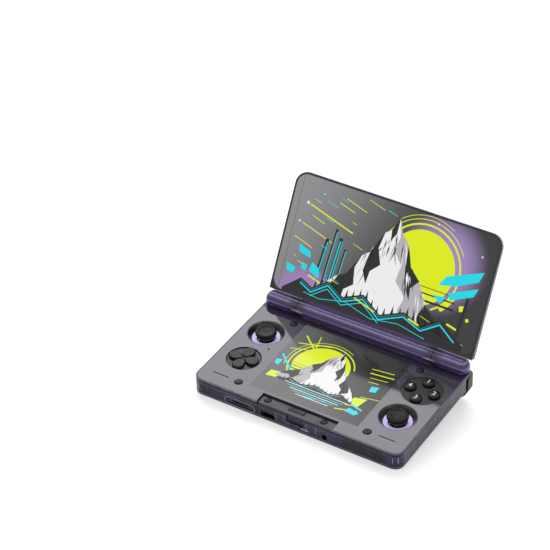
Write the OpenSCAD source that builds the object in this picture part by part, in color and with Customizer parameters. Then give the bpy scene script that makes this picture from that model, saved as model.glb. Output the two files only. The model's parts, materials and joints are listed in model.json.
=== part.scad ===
// Clamshell handheld game console with two screens, in millimetres.
// Deck frame: X to the right, Y back from the deck's front edge, Z up from the deck.
// seated() then stands the whole console on its four feet.

/* [Base] */
// Width of the base and of the lid
base_w = 150; // [147:0.5:156]
// Height of the base below the deck
base_h = 12.6; // [12.5:0.1:14]
// Thickness of the base's outer walls
wall_t = 1.6; // [1.2:0.1:1.8]
// Thickness of the base's floor
floor_t = 1.4; // [1:0.1:1.5]
// Depth of the seam between the frame and the bottom cover
seam_drop = 10; // [9.8:0.1:10.4]
// Radius of the base's front corners, seen from above
corner_r = 6.5; // [6:0.5:8]
// Radius of the base's rear corners, seen from above
rear_corner_r = 6.2; // [5:0.1:6.6]
// Rounding of the deck's outer edge
deck_edge_r = 0.6; // [0.3:0.1:0.8]
// Rounding of the base's lower edge
foot_edge_r = 1.1; // [0.8:0.1:2]
// Thickness of the frame's web under the faceplate
web_t = 1.4; // [1.1:0.1:1.4]

/* [Faceplate] */
// Thickness of the glossy plate on the deck
plate_t = 1.2; // [1:0.1:1.2]
// Radius of the faceplate's rear corners
plate_rear_r = 1.5; // [1:0.1:2]
// Rim of the frame that shows round the faceplate
rim_w = 0.8; // [0.6:0.1:1.2]
// Distance from the front edge to the back of the faceplate
plate_back_y = 83.4; // [82.9:0.1:84]
// Half width of the notch in the middle of the front edge
notch_half = 26.5; // [25:0.1:28]
// Depth of that notch from front to back
notch_d = 8.6; // [8.3:0.1:9.4]
// Bevel along the front of that notch
notch_bevel = 1.4; // [0.8:0.1:1.4]
// Length of each speaker slot
slot_l = 11.8; // [9:0.1:13]
// Width of each speaker slot
slot_w = 0.7; // [0.5:0.1:0.9]
// Distance from the side wall to the middle of a speaker slot
slot_in = 15; // [14:0.1:16]
// Distance from the front edge to the speaker slots
slot_y = 10.9; // [9.9:0.1:11.4]
// Radius of the microphone hole
mic_r = 0.4; // [0.3:0.05:0.6]
// Distance from the side wall to the microphone hole
mic_in = 27.8; // [27.2:0.1:28.4]
// Distance from the front edge to the microphone hole
mic_y = 47; // [45.4:0.1:47.9]

/* [Hinge] */
// Distance from the front edge to the hinge axis
axis_y = 89.8; // [89.4:0.1:91.4]
// Height of the hinge axis and of the closed lid's glass above the deck
axis_z = 3.4; // [3.3:0.1:3.6]
// Radius of the hinge barrel and of the knuckles
barrel_r = 5.5; // [5.3:0.1:5.7]
// Distance from the side wall to the lid's barrel
barrel_in = 25.2; // [24.6:0.1:25.8]
// Distance from the side wall to the knuckles' outer ends
knuckle_in = 0.7; // [0.5:0.1:2]
// Rounding of the knuckles' outer ends
knuckle_edge_r = 4.2; // [3:0.1:4.6]
// Running gap between the barrel and the base
barrel_gap = 0.4; // [0.3:0.05:0.5]
// Angle between the closed lid and the lid as it stands open
open_angle = 119.5; // [90:0.5:135]
// Radius of the hinge cartridge
cartridge_r = 4.1; // [3.7:0.1:4.2]
// Length of the hinge cartridge
cartridge_l = 12; // [10:0.5:14]
// Radius of the hinge shaft
shaft_r = 2; // [1.6:0.1:2.3]
// Length of the shaft's hub in the barrel
hub_l = 8.5; // [6:0.5:10]

/* [Lid] */
// Distance from the hinge axis to the lid's free edge
lid_reach = 87; // [85:0.1:88]
// Distance from the hinge axis to the lid's lower corners
lid_foot = 5.9; // [5.8:0.05:6.2]
// Thickness of the lid
lid_t = 4.4; // [4.3:0.1:4.8]
// Radius of the lid's free corners
lid_corner_r = 9; // [8:0.5:11]
// Rounding of the lid's outer edge
lid_edge_r = 2.2; // [1:0.1:2.4]
// Thickness of the lid's back panel
lid_panel_t = 1.1; // [0.9:0.1:1.2]
// Width of the ledge that holds the lid glass
lid_ledge = 1.2; // [0.8:0.1:1.6]
// Thickness of the lid glass
lid_glass_t = 1; // [0.8:0.1:1.1]
// Width of the border at the sides of the upper display
upper_side = 7; // [5:0.25:10]
// Width of the border above and below the upper display
upper_end = 2.55; // [2.3:0.05:5.5]
// Thickness of the upper display
upper_t = 1.4; // [1.2:0.1:1.5]
// Thickness of the metal shield behind the upper display
shield_t = 0.4; // [0.3:0.05:0.5]
// Thickness of the web that joins the panel to the barrel
lid_web_t = 3.6; // [3.2:0.1:4]

/* [Lower display and boards] */
// Distance from the side wall to the lower display
lower_side = 35.8; // [35.5:0.1:37]
// Distance from the notch in the front edge to the lower display
lower_front = 2.9; // [2.4:0.1:4.4]
// Distance from the faceplate's back edge to the lower display
lower_rear = 2.9; // [2.4:0.1:4.4]
// Thickness of the lower display
lower_t = 1.9; // [1.6:0.1:2.1]
// Depth of the main board's top below the deck
board_drop = 5.6; // [5.5:0.05:5.8]
// Thickness of the circuit boards
board_t = 0.8; // [0.6:0.05:0.9]
// Gap between the lower display and the main board's wings, seen from above
wing_gap = 2; // [1.4:0.1:2.4]
// Distance from the front edge to the board's rear bar
bar_y = 60.4; // [60:0.1:62.4]
// Length of the battery from front to back
battery_l = 40; // [34:0.5:40.5]
// Gap between the battery and the main board's wings
battery_gap = 3.2; // [2.2:0.1:11]
// Thickness of the battery
battery_t = 6.4; // [5:0.1:6.6]
// Thickness of the heat spreader
spreader_t = 0.7; // [0.5:0.1:0.9]
// Distance from the board's wings to the heat spreader's ends
spreader_in = 6.2; // [4:0.1:10]
// Side of the processor and of the storage chip
chip_w = 14; // [10:0.5:16]
// Width of the memory chip
memory_w = 11; // [9:0.5:13]
// Width of each power chip
power_chip_w = 3; // [2:0.25:4]
// Height of the processor
chip_h = 1.1; // [0.8:0.05:1.2]
// Gap between two chips
chip_gap = 5; // [3:0.5:6]
// Depth of the port board from front to back
port_board_d = 8.6; // [8:0.1:9]
// Width of a speaker
speaker_w = 10.2; // [9:0.1:11]
// Length of a speaker from front to back
speaker_l = 12.5; // [10:0.5:14]
// Distance from a speaker slot to the front of its speaker
speaker_front = 5.9; // [5:0.1:6.2]
// Depth of a speaker's underside below the deck
speaker_drop = 8.6; // [7:0.1:9]

/* [Thumbsticks] */
// Distance from the side wall to the left stick and the face buttons
upper_in = 17.6; // [17:0.1:18]
// Distance from the front edge to the left stick and the face buttons
upper_y = 60.2; // [59.8:0.1:60.8]
// Distance from the side wall to the right stick and the direction pad
lower_in = 18.9; // [18.4:0.1:19.4]
// Distance from the front edge to the right stick and the direction pad
lower_row_y = 31.5; // [31:0.1:31.8]
// Radius of a stick's well in the deck
well_r = 12.2; // [11.9:0.1:12.4]
// Radius of a stick's light ring
light_r = 9.2; // [8.6:0.1:9.6]
// Depth of the light ring below the deck
light_drop = 3.5; // [3.4:0.05:3.6]
// Radius of a stick's cap
cap_r = 7; // [6.4:0.1:7.2]
// Height of a stick's cap above the deck
cap_top = 2.2; // [1.6:0.1:2.3]
// Depth of a stick's pivot below the deck
pivot_drop = 6; // [5.9:0.05:6.1]
// Side of a stick's housing
stick_side = 16.6; // [15.8:0.1:17]
// Radius of a stick's shaft
stick_shaft_r = 1.3; // [1:0.1:1.5]

/* [Buttons] */
// Radius of the direction pad's dish in the deck
dish_r = 11.5; // [11.2:0.1:11.8]
// Height of the direction pad above the deck
pad_top = 0.9; // [0.4:0.1:1.4]
// Radius of the ball that the direction pad rocks on
pad_ball_r = 1.5; // [1.2:0.05:1.5]
// Radius of the plate round the face buttons
cluster_r = 13.2; // [13.1:0.1:13.6]
// Distance from the cluster's middle to each face button
spread = 8.4; // [8.2:0.1:8.6]
// Radius of a face button
face_r = 3.9; // [3.6:0.1:4.1]
// Height of a face button above the deck
face_top = 1.7; // [1.2:0.1:2.2]
// Distance from the lower display to the small buttons
small_gap = 7.4; // [7:0.1:7.8]
// Distance from the front edge to the rear small buttons
small_rear_y = 76.8; // [76.2:0.1:77.2]
// Distance from the front edge to the front small buttons
small_front_y = 10.4; // [10.2:0.1:11]
// Radius of the rear small buttons
small_rear_r = 2.4; // [2:0.1:2.6]
// Radius of the front small buttons
small_front_r = 2.7; // [2.3:0.1:2.9]
// Height of the small buttons above the deck
small_top = 0.7; // [0.3:0.1:1.2]
// Distance from the centre line to the power button, to the left
power_x = 22; // [21.6:0.1:22.4]
// Distance from the centre line to the function button, to the right
function_x = 18.6; // [18:0.1:19.4]
// Distance from the front edge to the buttons on the front strip
strip_y = 5.8; // [5.6:0.1:6]
// Radius of the buttons on the front strip
strip_r = 2.2; // [1.8:0.1:2.3]
// Length of the volume rocker
rocker_l = 11.2; // [9:0.1:12]
// Width of the volume rocker
rocker_w = 3.6; // [3:0.1:3.8]
// Distance from the centre line to the middle of the rocker, to the left
rocker_x = 0.8; // [0.4:0.1:1.2]
// Height of the strip's buttons above the strip
strip_top = 0.5; // [0.3:0.1:0.7]

/* [Ports in the front wall] */
// Distance from the centre line to the card slot, to the left
card_x = 39.4; // [39:0.1:40]
// Width of the card slot
card_w = 20.8; // [18:0.1:21]
// Height of the card slot
card_h = 4.4; // [3.8:0.1:4.6]
// Depth of the card slot's middle below the deck
card_drop = 7.6; // [7.5:0.05:7.7]
// Distance from the centre line to the charging port, to the left
usb_x = 18.6; // [18.2:0.1:19.2]
// Width of the charging port
usb_w = 9.2; // [8.8:0.1:9.6]
// Height of the charging port
usb_h = 3.3; // [3.1:0.1:3.4]
// Depth of the middle of the charging port and headphone jack below the deck
port_drop = 7.7; // [7.65:0.05:7.8]
// Distance from the centre line to the headphone jack
jack_x = 22.2; // [21.8:0.1:22.6]
// Radius of the headphone jack's bore
jack_r = 1.8; // [1.7:0.05:1.9]
// Depth of the headphone jack's bore
jack_l = 13; // [12:0.5:14]
// Width of the recess in the front wall below the rocker
recess_w = 12; // [8:0.5:13]
// Distance from the centre line to the middle of that recess
recess_x = 0.8; // [0.4:0.1:1.2]
// Depth of that recess's lower end below the deck
recess_drop = 6.8; // [6:0.1:6.8]
// Distance from the centre line to the indicator window
window_x = 8; // [7.6:0.1:8.6]
// Width of the indicator window
window_w = 6; // [4:0.1:6.4]

/* [Shoulder buttons and triggers] */
// Distance from the side wall to a shoulder button's inner end
shoulder_l = 26.4; // [26:0.1:26.6]
// Thickness of a shoulder button's face
shoulder_t = 3.7; // [3.2:0.1:3.9]
// Height of a shoulder button
shoulder_h = 9.4; // [9:0.1:9.5]
// Depth of the pocket that a shoulder button and a trigger stand in
pocket_d = 9.9; // [9.6:0.1:10.2]
// Distance that shoulder buttons and triggers stand behind the base
shoulder_proud = 1.3; // [0.4:0.1:1.6]
// Distance that shoulder buttons stand out beyond the side walls
shoulder_out = 0.6; // [0.2:0.1:0.8]
// Radius of a shoulder button's outer corner
shoulder_corner_r = 4; // [3:0.1:4.4]
// Distance from the side wall to the middle of a trigger and its hump
trigger_in = 12.3; // [12.2:0.1:12.7]
// Radius of a trigger's round lower edge
trigger_r = 12.2; // [11.8:0.1:12.2]
// Depth of that radius's centre below the deck
trigger_drop = 11.4; // [11:0.1:11.6]
// Thickness of a trigger from front to back
trigger_d = 8; // [7.6:0.1:8]
// Thickness of a trigger's shell
trigger_t = 1.7; // [1.2:0.1:1.8]
// Radius of a trigger's pin
pin_r = 1; // [0.8:0.05:1.1]
// Radius of the hump in the bottom cover
hump_r = 10.5; // [10.2:0.1:10.6]
// Length of the hump from front to back
hump_l = 21; // [18:0.5:23]

/* [Feet and screws] */
// Distance from the side wall to the front feet
foot_in = 23; // [17:1:29]
// Distance from the front edge to the front feet
front_foot_y = 8.2; // [7.8:0.1:8.9]
// Distance that the front feet stand below the bottom cover
front_foot_t = 0.9; // [0.8:0.05:1.2]
// Distance from the front edge to the rear feet, on the humps
rear_foot_y = 81; // [80:0.1:81.4]
// Distance that the rear feet stand below the humps
rear_foot_t = 1.5; // [1.3:0.05:1.8]
// Radius of the feet
foot_r = 3.4; // [3:0.1:3.6]
// Distance from the side wall to the front screws
screw_in = 7.6; // [7.2:0.1:8]
// Distance from the front edge to the front screws
screw_front_y = 8.8; // [8.6:0.1:9]
// Distance from a shoulder button's inner end to the rear screw beside it
screw_rear_in = 6; // [5.8:0.1:8.6]
// Distance from the front edge to the rear screws
screw_rear_y = 87.8; // [87.4:0.1:88.2]
// Radius of the screws' shanks
screw_r = 0.8; // [0.7:0.05:0.9]

/* [Clearances] */
// Gap round a button or cap in its hole
button_gap = 0.2; // [0.15:0.05:0.25]
// Gap between pieces that are fixed next to each other
fit_gap = 0.1; // [0.05:0.01:0.15]
// Radial clearance of a shaft in its bore
run_gap = 0.05; // [0.03:0.01:0.08]

/* [Hidden] */

purple = "#5b4a80";
smoke = "#77737f";
black = "#1c1c1e";
lilac = "#cdb8f5";

$fn = 64;
cut = 0.2;
corner_fn = 32;
edge_steps = 4;

half_w = base_w / 2;
base_d = axis_y + barrel_r;
slot_x = half_w - slot_in;
mic_x = half_w - mic_in;
barrel_half = half_w - barrel_in;
knuckle_end = half_w - knuckle_in;
upper_w = base_w - 2 * upper_side;
upper_h = lid_reach - lid_foot - 2 * upper_end;
lower_w = base_w - 2 * lower_side;
lower_h = plate_back_y - lower_rear - notch_d - lower_front;
lower_y = notch_d + lower_front + lower_h / 2;
wing_x = lower_w / 2 + wing_gap;
battery_w = 2 * (wing_x - battery_gap);
small_x = lower_w / 2 + small_gap;
upper_x = half_w - upper_in;
lower_x = half_w - lower_in;
shoulder_x = half_w - shoulder_l;
trigger_x = half_w - trigger_in;
foot_x = half_w - foot_in;
screw_x = half_w - screw_in;
screw_rear_x = shoulder_x - screw_rear_in;
boss_r = screw_r + 1.5;
speaker_x1 = screw_x - boss_r - 0.5;
speaker_x0 = speaker_x1 - speaker_w;
speaker_y0 = slot_y - speaker_front;
speaker_y1 = speaker_y0 + speaker_l;
web_top = -plate_t;
web_bottom = -plate_t - web_t;
inner_floor = floor_t - base_h;
cover_gap = 0.3;
bay_back_y = plate_back_y - 1.1;
board_back_y = bay_back_y - 0.4;
trough_r = barrel_r + barrel_gap;
trough_half = barrel_half + barrel_gap;
trough_floor = axis_z - trough_r;
pocket_x = shoulder_x - 0.4;
pocket_y = base_d - pocket_d;
pocket_top = trough_floor - 0.4;
bay_rear_x = pocket_x - wall_t;
plate_r = corner_r - rim_w;
light_top = -light_drop;
housing_top = light_top - 1.3;
pivot_z = -pivot_drop;
board_top = -board_drop;
board_bottom = board_top - board_t;
membrane_t = 0.7;
membrane_top = board_top + membrane_t;
flange_top = web_bottom - button_gap;
flange_t = 0.7;
port_board_top = -port_drop - usb_h / 2 - fit_gap;
jack_body = jack_r + 1.1;
strip_board_top = flange_top - flange_t - 0.9;
hump_y = pocket_y - fit_gap;
shoulder_top = pocket_top - 0.4;
shoulder_bottom = shoulder_top - shoulder_h;
trigger_back = base_d + shoulder_proud;
trigger_top = shoulder_bottom - 0.5;
trigger_pin_y = trigger_back - 4.8;
trigger_pin_z = trigger_top - 2.2;
ear_r = pin_r + 0.8;
ear_in = 6.5;
ear_t = 2;
spring_l = 1.6;
front_foot_z = -base_h - front_foot_t;
rear_foot_z = -trigger_drop - hump_r - rear_foot_t;
lid_mid = (lid_reach + lid_foot) / 2;
shaft_start = barrel_half - hub_l;
cartridge_start = trough_half + 0.4;

// The console leans back so that all four feet touch the ground.
tilt = atan((front_foot_z - rear_foot_z) / (rear_foot_y - front_foot_y));
lift = -front_foot_y * sin(tilt) - front_foot_z * cos(tilt);
front_reach = deck_edge_r * (cos(tilt) + sin(tilt) - 1);
lean = 180 - open_angle + tilt;
edge_u = lid_reach - lid_edge_r;
edge_w = lid_t - lid_edge_r;
rear_reach = axis_y * cos(tilt) - axis_z * sin(tilt) + edge_u * cos(lean) + edge_w * sin(lean) + lid_edge_r;
mid_y = (front_reach + rear_reach) / 2;

module seated() {
    translate([0, -mid_y, lift]) rotate([tilt, 0, 0]) children();
}

module both() {
    children();
    mirror([1, 0, 0]) children();
}

module left() {
    mirror([1, 0, 0]) children();
}

// The closed lid lies towards the front from the hinge axis, and opens about X.
module lid_open() {
    translate([0, axis_y, axis_z]) rotate([-open_angle, 0, 0]) children();
}

// A cylinder along X from x0 to x1
module rod_x(x0, x1, r, y, z) {
    translate([x0, y, z]) rotate([0, 90, 0]) cylinder(h=x1 - x0, r=r);
}

// A cylinder along Y from y0 to y1
module rod_y(y0, y1, r, x, z) {
    translate([x, y0, z]) rotate([-90, 0, 0]) cylinder(h=y1 - y0, r=r);
}

module block(x0, x1, y0, y1, z0, z1) {
    translate([x0, y0, z0]) cube([x1 - x0, y1 - y0, z1 - z0]);
}

module disc(x, y, r, z0, z1) {
    translate([x, y, z0]) cylinder(h=z1 - z0, r=r);
}

// A plate outline with its own corner radius at the front and at the back
module outline(w, y0, y1, front_r, back_r) {
    translate([front_r - w / 2, y0]) square([w - 2 * front_r, front_r]);
    translate([-w / 2, y0 + front_r]) square([w, y1 - y0 - front_r - back_r]);
    translate([back_r - w / 2, y1 - back_r]) square([w - 2 * back_r, back_r]);
    for (side = [-1, 1]) {
        translate([side * (w / 2 - front_r), y0 + front_r]) circle(front_r);
        translate([side * (w / 2 - back_r), y1 - back_r]) circle(back_r);
    }
}

module slab(w, y0, y1, z0, z1, front_r, back_r) {
    translate([0, 0, z0]) linear_extrude(z1 - z0) outline(w, y0, y1, front_r, back_r);
}

// A quarter arc as points, from one angle to the other
function arc(cx, cy, r, a0, a1, steps) =
    [for (i = [0:steps]) [cx + r * cos(a0 + (a1 - a0) * i / steps), cy + r * sin(a0 + (a1 - a0) * i / steps)]];

function low_edge(r, z, e) = e > 0 ? arc(r - e, z + e, e, -90, 0, edge_steps) : [[r, z]];
function high_edge(r, z, e) = e > 0 ? arc(r - e, z - e, e, 0, 90, edge_steps) : [[r, z]];

module puck(r, z0, z1, low_r, high_r) {
    rotate_extrude($fn=corner_fn)
        polygon(concat([[0, z0]], low_edge(r, z0, low_r), high_edge(r, z1, high_r), [[0, z1]]));
}

// A slab with rounded corners and rounded edges
module soft_slab(w, y0, y1, z0, z1, front_r, back_r, low_r, high_r) {
    hull() for (side = [-1, 1]) {
        translate([side * (w / 2 - front_r), y0 + front_r, 0]) puck(front_r, z0, z1, low_r, high_r);
        translate([side * (w / 2 - back_r), y1 - back_r, 0])
            puck(back_r, z0, z1, min(low_r, back_r), min(high_r, back_r));
    }
}

// A flat round-ended slot through a wall, along Y
module port(x, z, w, h, y0, y1) {
    block(x - (w - h) / 2, x + (w - h) / 2, y0, y1, z - h / 2, z + h / 2);
    for (side = [-1, 1]) rod_y(y0, y1, h / 2, x + side * (w - h) / 2, z);
}

// A button with a rounded top: its crown, its flange under the web and its stem
module button(r, top, flange_r, stem_r, stem_z) {
    crown_r = min(0.6, r / 3);
    rotate_extrude() polygon(concat(
        [[0, stem_z], [stem_r, stem_z], [stem_r, flange_top - flange_t], [flange_r, flange_top - flange_t],
         [flange_r, flange_top], [r, flange_top]],
        high_edge(r, top, crown_r), [[0, top]]));
}

module at(x, y) {
    translate([x, y, 0]) children();
}

// Places that repeat: the face buttons round their cluster
function face_spot(i) = [upper_x + spread * sin(90 * i), upper_y + spread * cos(90 * i)];

module deck_holes(gap, z0, z1) {
    disc(-upper_x, upper_y, well_r + gap, z0, z1);
    disc(lower_x, lower_row_y, well_r + gap, z0, z1);
    disc(-lower_x, lower_row_y, dish_r, z0, z1);
    both() {
        disc(small_x, small_rear_y, small_rear_r + gap, z0, z1);
        disc(small_x, small_front_y, small_front_r + gap, z0, z1);
    }
}

// One speaker slot as a stadium, cut from z0 to z1
module speaker_slot(z0, z1) {
    span = (slot_l - slot_w) / 2;
    block(slot_x - span, slot_x + span, slot_y - slot_w / 2, slot_y + slot_w / 2, z0, z1);
    for (side = [-1, 1]) disc(slot_x + side * span, slot_y, slot_w / 2, z0, z1);
}

// A hinge cover on the deck, a round bar with a rounded outer end and a bore for the cartridge
module knuckle() {
    l = knuckle_end - trough_half;
    color(purple) difference() {
        translate([trough_half, axis_y, axis_z]) rotate([0, 90, 0]) rotate_extrude()
            polygon(concat([[0, 0], [barrel_r, 0]], high_edge(barrel_r, l, knuckle_edge_r), [[0, l]]));
        block(0, base_w, 0, 2 * axis_y, -base_h, 0);
        cartridge_bore();
    }
}

module cartridge_bore() {
    rod_x(trough_half - cut, cartridge_start + cartridge_l + fit_gap, cartridge_r + fit_gap, axis_y, axis_z);
}

// The bevel that sets the strip's front edge back from the front wall
module strip_bevel() {
    e = notch_bevel;
    translate([-notch_half, 0, web_top]) rotate([0, 90, 0]) linear_extrude(2 * notch_half)
        polygon([[-web_t, -cut], [-web_t, e], [0, e], [e, 0], [e, -cut]]);
}

module bay(z0, z1) {
    slab(base_w - 2 * wall_t, wall_t, bay_back_y, z0, z1, corner_r - wall_t, corner_r - wall_t);
}

// The holes for the sockets in the front wall
module port_holes() {
    port(-card_x, -card_drop, card_w + 2 * fit_gap, card_h + 2 * fit_gap, -cut, wall_t + cut);
    port(-usb_x, -port_drop, usb_w + 1.4, usb_h + 1.2, -cut, wall_t + cut);
    rod_y(-cut, wall_t + cut, jack_r + 0.7, jack_x, -port_drop);
    port(window_x, -port_drop - 0.6, window_w, 1.6, -cut, wall_t + cut);
}

module base_frame() {
    color(purple) difference() {
        union() {
            difference() {
                soft_slab(base_w, 0, base_d, -seam_drop, 0, corner_r, rear_corner_r, 0, deck_edge_r);
                bay(-seam_drop - cut, web_bottom);
                block(-bay_rear_x, bay_rear_x, bay_back_y - corner_r, base_d - wall_t, -seam_drop - cut,
                      trough_floor - web_t);
            }
            both() {
                disc(screw_x, screw_front_y, boss_r, inner_floor + cover_gap, web_bottom + cut);
                disc(screw_rear_x, screw_rear_y, boss_r, inner_floor + cover_gap, trough_floor - web_t + cut);
            }
        }
        slab(base_w - 2 * rim_w, rim_w, plate_back_y, web_top, cut, plate_r, plate_rear_r);
        block(-notch_half, notch_half, -cut, notch_d, web_top, cut);
        strip_bevel();
        rod_x(-trough_half, trough_half, trough_r, axis_y, axis_z);
        block(-trough_half, trough_half, axis_y, base_d + cut, trough_floor, axis_z);
        block(-lower_w / 2 - cover_gap, lower_w / 2 + cover_gap, lower_y - lower_h / 2 - cover_gap,
              lower_y + lower_h / 2 + cover_gap, web_bottom - cut, cut);
        deck_holes(button_gap, web_bottom - cut, cut);
        disc(upper_x, upper_y, cluster_r + button_gap, web_bottom - cut, cut);
        both() {
            cartridge_bore();
            block(pocket_x, half_w + cut, pocket_y, base_d + cut, -seam_drop - cut, pocket_top);
            disc(shoulder_x + 2, base_d - 1.5, 0.9 + run_gap, pocket_top - cut, pocket_top + 1.2);
            speaker_slot(web_bottom - cut, cut);
            disc(screw_x, screw_front_y, screw_r - fit_gap, -base_h, web_bottom - 1);
            disc(screw_rear_x, screw_rear_y, screw_r - fit_gap, -base_h, trough_floor - web_t - 1);
        }
        disc(-mic_x, mic_y, mic_r, web_bottom - cut, cut);
        disc(-power_x, strip_y, strip_r + button_gap, web_bottom - cut, cut);
        disc(function_x, strip_y, strip_r + button_gap, web_bottom - cut, cut);
        block(-rocker_x - rocker_l / 2 - button_gap, -rocker_x + rocker_l / 2 + button_gap,
              strip_y + 0.5 - rocker_w / 2 - button_gap, strip_y + 0.5 + rocker_w / 2 + button_gap,
              web_bottom - cut, cut);
        block(recess_x - recess_w / 2, recess_x + recess_w / 2, -cut, wall_t - 0.6, -recess_drop, cut);
        port_holes();
    }
}

// The solid hump that a trigger hangs behind, with a round front end
module hump(r, back_y, front_y) {
    l = back_y - front_y;
    translate([trigger_x, back_y, -trigger_drop]) rotate([90, 0, 0]) rotate_extrude()
        polygon(concat([[0, 0], [r, 0]], arc(0, l - r, r, 0, 90, 12)));
}

module bottom_cover() {
    color(purple) difference() {
        union() {
            difference() {
                union() {
                    soft_slab(base_w, 0, base_d, -base_h, -seam_drop, corner_r, rear_corner_r, foot_edge_r, 0);
                    both() difference() {
                        hump(hump_r, hump_y, hump_y - hump_l);
                        block(0, base_w, 0, base_w, -seam_drop, base_h);
                    }
                }
                both() block(pocket_x, half_w + cut, pocket_y, base_d + cut, -base_w, 0);
                bay(inner_floor, -seam_drop + cut);
                block(-bay_rear_x, bay_rear_x, bay_back_y - corner_r, base_d - wall_t, inner_floor, -seam_drop + cut);
                both() hump(hump_r - floor_t, hump_y - floor_t, hump_y - hump_l + floor_t);
            }
            both() for (x = [trigger_x - ear_in, trigger_x + ear_in - ear_t]) {
                block(x, x + ear_t, hump_y - cut, trigger_pin_y, trigger_pin_z - ear_r, trigger_pin_z + ear_r);
                rod_x(x, x + ear_t, ear_r, trigger_pin_y, trigger_pin_z);
            }
        }
        both() {
            rod_x(trigger_x - ear_in - cut, trigger_x + ear_in + cut, pin_r, trigger_pin_y, trigger_pin_z);
            disc(screw_x, screw_front_y, screw_r + fit_gap, -base_h - cut, -seam_drop);
            disc(screw_x, screw_front_y, 1.6, -base_h - cut, -base_h + 0.8);
            disc(screw_rear_x, screw_rear_y, screw_r + fit_gap, -base_h - cut, -seam_drop);
            disc(screw_rear_x, screw_rear_y, 1.6, -base_h - cut, -base_h + 0.8);
        }
        port_holes();
    }
}

module deck_faceplate() {
    side = fit_gap;
    color(smoke) difference() {
        slab(base_w - 2 * rim_w - 2 * side, rim_w + side, plate_back_y - side, web_top, 0,
             plate_r - side, plate_rear_r);
        block(-notch_half - rim_w, notch_half + rim_w, 0, notch_d + rim_w, -base_h, cut);
        deck_holes(button_gap, -base_h, cut);
        disc(upper_x, upper_y, cluster_r + button_gap, -base_h, cut);
        both() speaker_slot(-base_h, cut);
        disc(-mic_x, mic_y, mic_r, -base_h, cut);
    }
}

module lower_display() {
    top = web_top - fit_gap;
    color("#202024") block(-lower_w / 2, lower_w / 2, lower_y - lower_h / 2, lower_y + lower_h / 2, top - lower_t, top);
}

function board_edge_x() = half_w - wall_t - 0.4;

module board_wing() {
    front = small_front_y - small_front_r - 1.3;
    middle = speaker_y1 + 1.4;
    block(wing_x, board_edge_x(), middle, bay_back_y - corner_r, board_bottom, board_top);
    block(wing_x, board_edge_x() - corner_r, bay_back_y - corner_r - cut, board_back_y, board_bottom, board_top);
    block(wing_x, speaker_x0 - 2.9, front, middle + cut, board_bottom, board_top);
}

// A chip under the board's bar, from x to the right
module chip(x, w, d, h) {
    middle = (bar_y + board_back_y) / 2;
    block(x, x + w, middle - d / 2, middle + d / 2, board_bottom - h, board_bottom);
}

module main_board() {
    hole = stick_side / 2 + fit_gap;
    color("#23402f") {
        difference() {
            union() {
                both() board_wing();
                block(-wing_x - cut, wing_x + cut, bar_y, board_back_y, board_bottom, board_top);
            }
            at(-upper_x, upper_y) block(-hole, hole, -hole, hole, -base_h, 0);
            at(lower_x, lower_row_y) block(-hole, hole, -hole, hole, -base_h, 0);
        }
        chip(-chip_w, chip_w, chip_w, chip_h);
        chip(-chip_gap - 2 * chip_w, chip_w, chip_w - 2, chip_h - 0.2);
        chip(chip_gap, memory_w, memory_w, chip_h - 0.2);
        for (i = [0:2])
            chip(2 * chip_gap + memory_w + i * (power_chip_w + 2), power_chip_w, power_chip_w + 2, chip_h - 0.2);
    }
}

module strip_board() {
    color("#23402f")
        block(-notch_half + 1, notch_half - 1, wall_t + 0.4, notch_d + 1.2, strip_board_top - board_t, strip_board_top);
}

module port_board() {
    y0 = wall_t + 0.4;
    color("#23402f") block(-card_x - card_w / 2, jack_x + jack_body + 2, y0, y0 + port_board_d,
                           port_board_top - board_t, port_board_top);
}

module battery() {
    y0 = wall_t + jack_l + 0.8;
    y1 = y0 + battery_l;
    low = inner_floor + cover_gap;
    top = low + battery_t;
    strip = 2.4;
    color("#2c2c30") {
        block(-battery_w / 2, battery_w / 2, y0, y1, low, top);
        block(-battery_w / 2 + 4, battery_w / 2 - 4, y1, y1 + strip, low + 1, top - 1);
    }
}

module heat_spreader() {
    half = wing_x - spreader_in;
    top = board_bottom - chip_h - fit_gap;
    color("#b36b3c") block(-half, half, bar_y + 2.4, board_back_y - 2.4, top - spreader_t, top);
}

module speakers() {
    rim = 1.8;
    color("#26262a") both() difference() {
        block(speaker_x0, speaker_x1, speaker_y0, speaker_y1, -speaker_drop, web_bottom - 0.2);
        block(speaker_x0 + rim, speaker_x1 - rim, slot_y - 2, slot_y + 2, web_bottom - 2, 0);
    }
}

module usb_port() {
    color("silver") difference() {
        port(-usb_x, -port_drop, usb_w, usb_h, 0.6, 8);
        port(-usb_x, -port_drop, usb_w - 0.7, usb_h - 0.7, 0.6 - cut, 7.2);
    }
    color(black) block(-usb_x - 3.2, -usb_x + 3.2, 1.6, 7.4, -port_drop - 0.35, -port_drop + 0.35);
}

module headphone_jack() {
    body = jack_body;
    body_h = 2 * (jack_r + 0.25);
    color(black) difference() {
        union() {
            block(jack_x - body, jack_x + body, wall_t + 0.2, wall_t + jack_l, port_board_top, port_board_top + body_h);
            rod_y(0.2, wall_t + 0.3, jack_r + 0.55, jack_x, -port_drop);
        }
        rod_y(0, jack_l, jack_r, jack_x, -port_drop);
    }
}

module card_slot() {
    back = 9;
    color(black) difference() {
        union() {
            port(-card_x, -card_drop, card_w, card_h, 0.5, wall_t + 0.2);
            block(-card_x - 7.4, -card_x + 7.4, wall_t, back, port_board_top + fit_gap, -card_drop + 0.95);
        }
        block(-card_x - 6, -card_x + 6, 0, back - 1, -card_drop - 0.55, -card_drop + 0.55);
    }
}

module indicator_window() {
    color("#d9d0ee") port(window_x, -port_drop - 0.6, window_w - 0.2, 1.4, fit_gap, wall_t + 0.5);
}

// The stick parts are made at the origin and placed by stick_left() and stick_right().
module stick_left() {
    translate([-upper_x, upper_y, 0]) children();
}

module stick_right() {
    translate([lower_x, lower_row_y, 0]) children();
}

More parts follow.
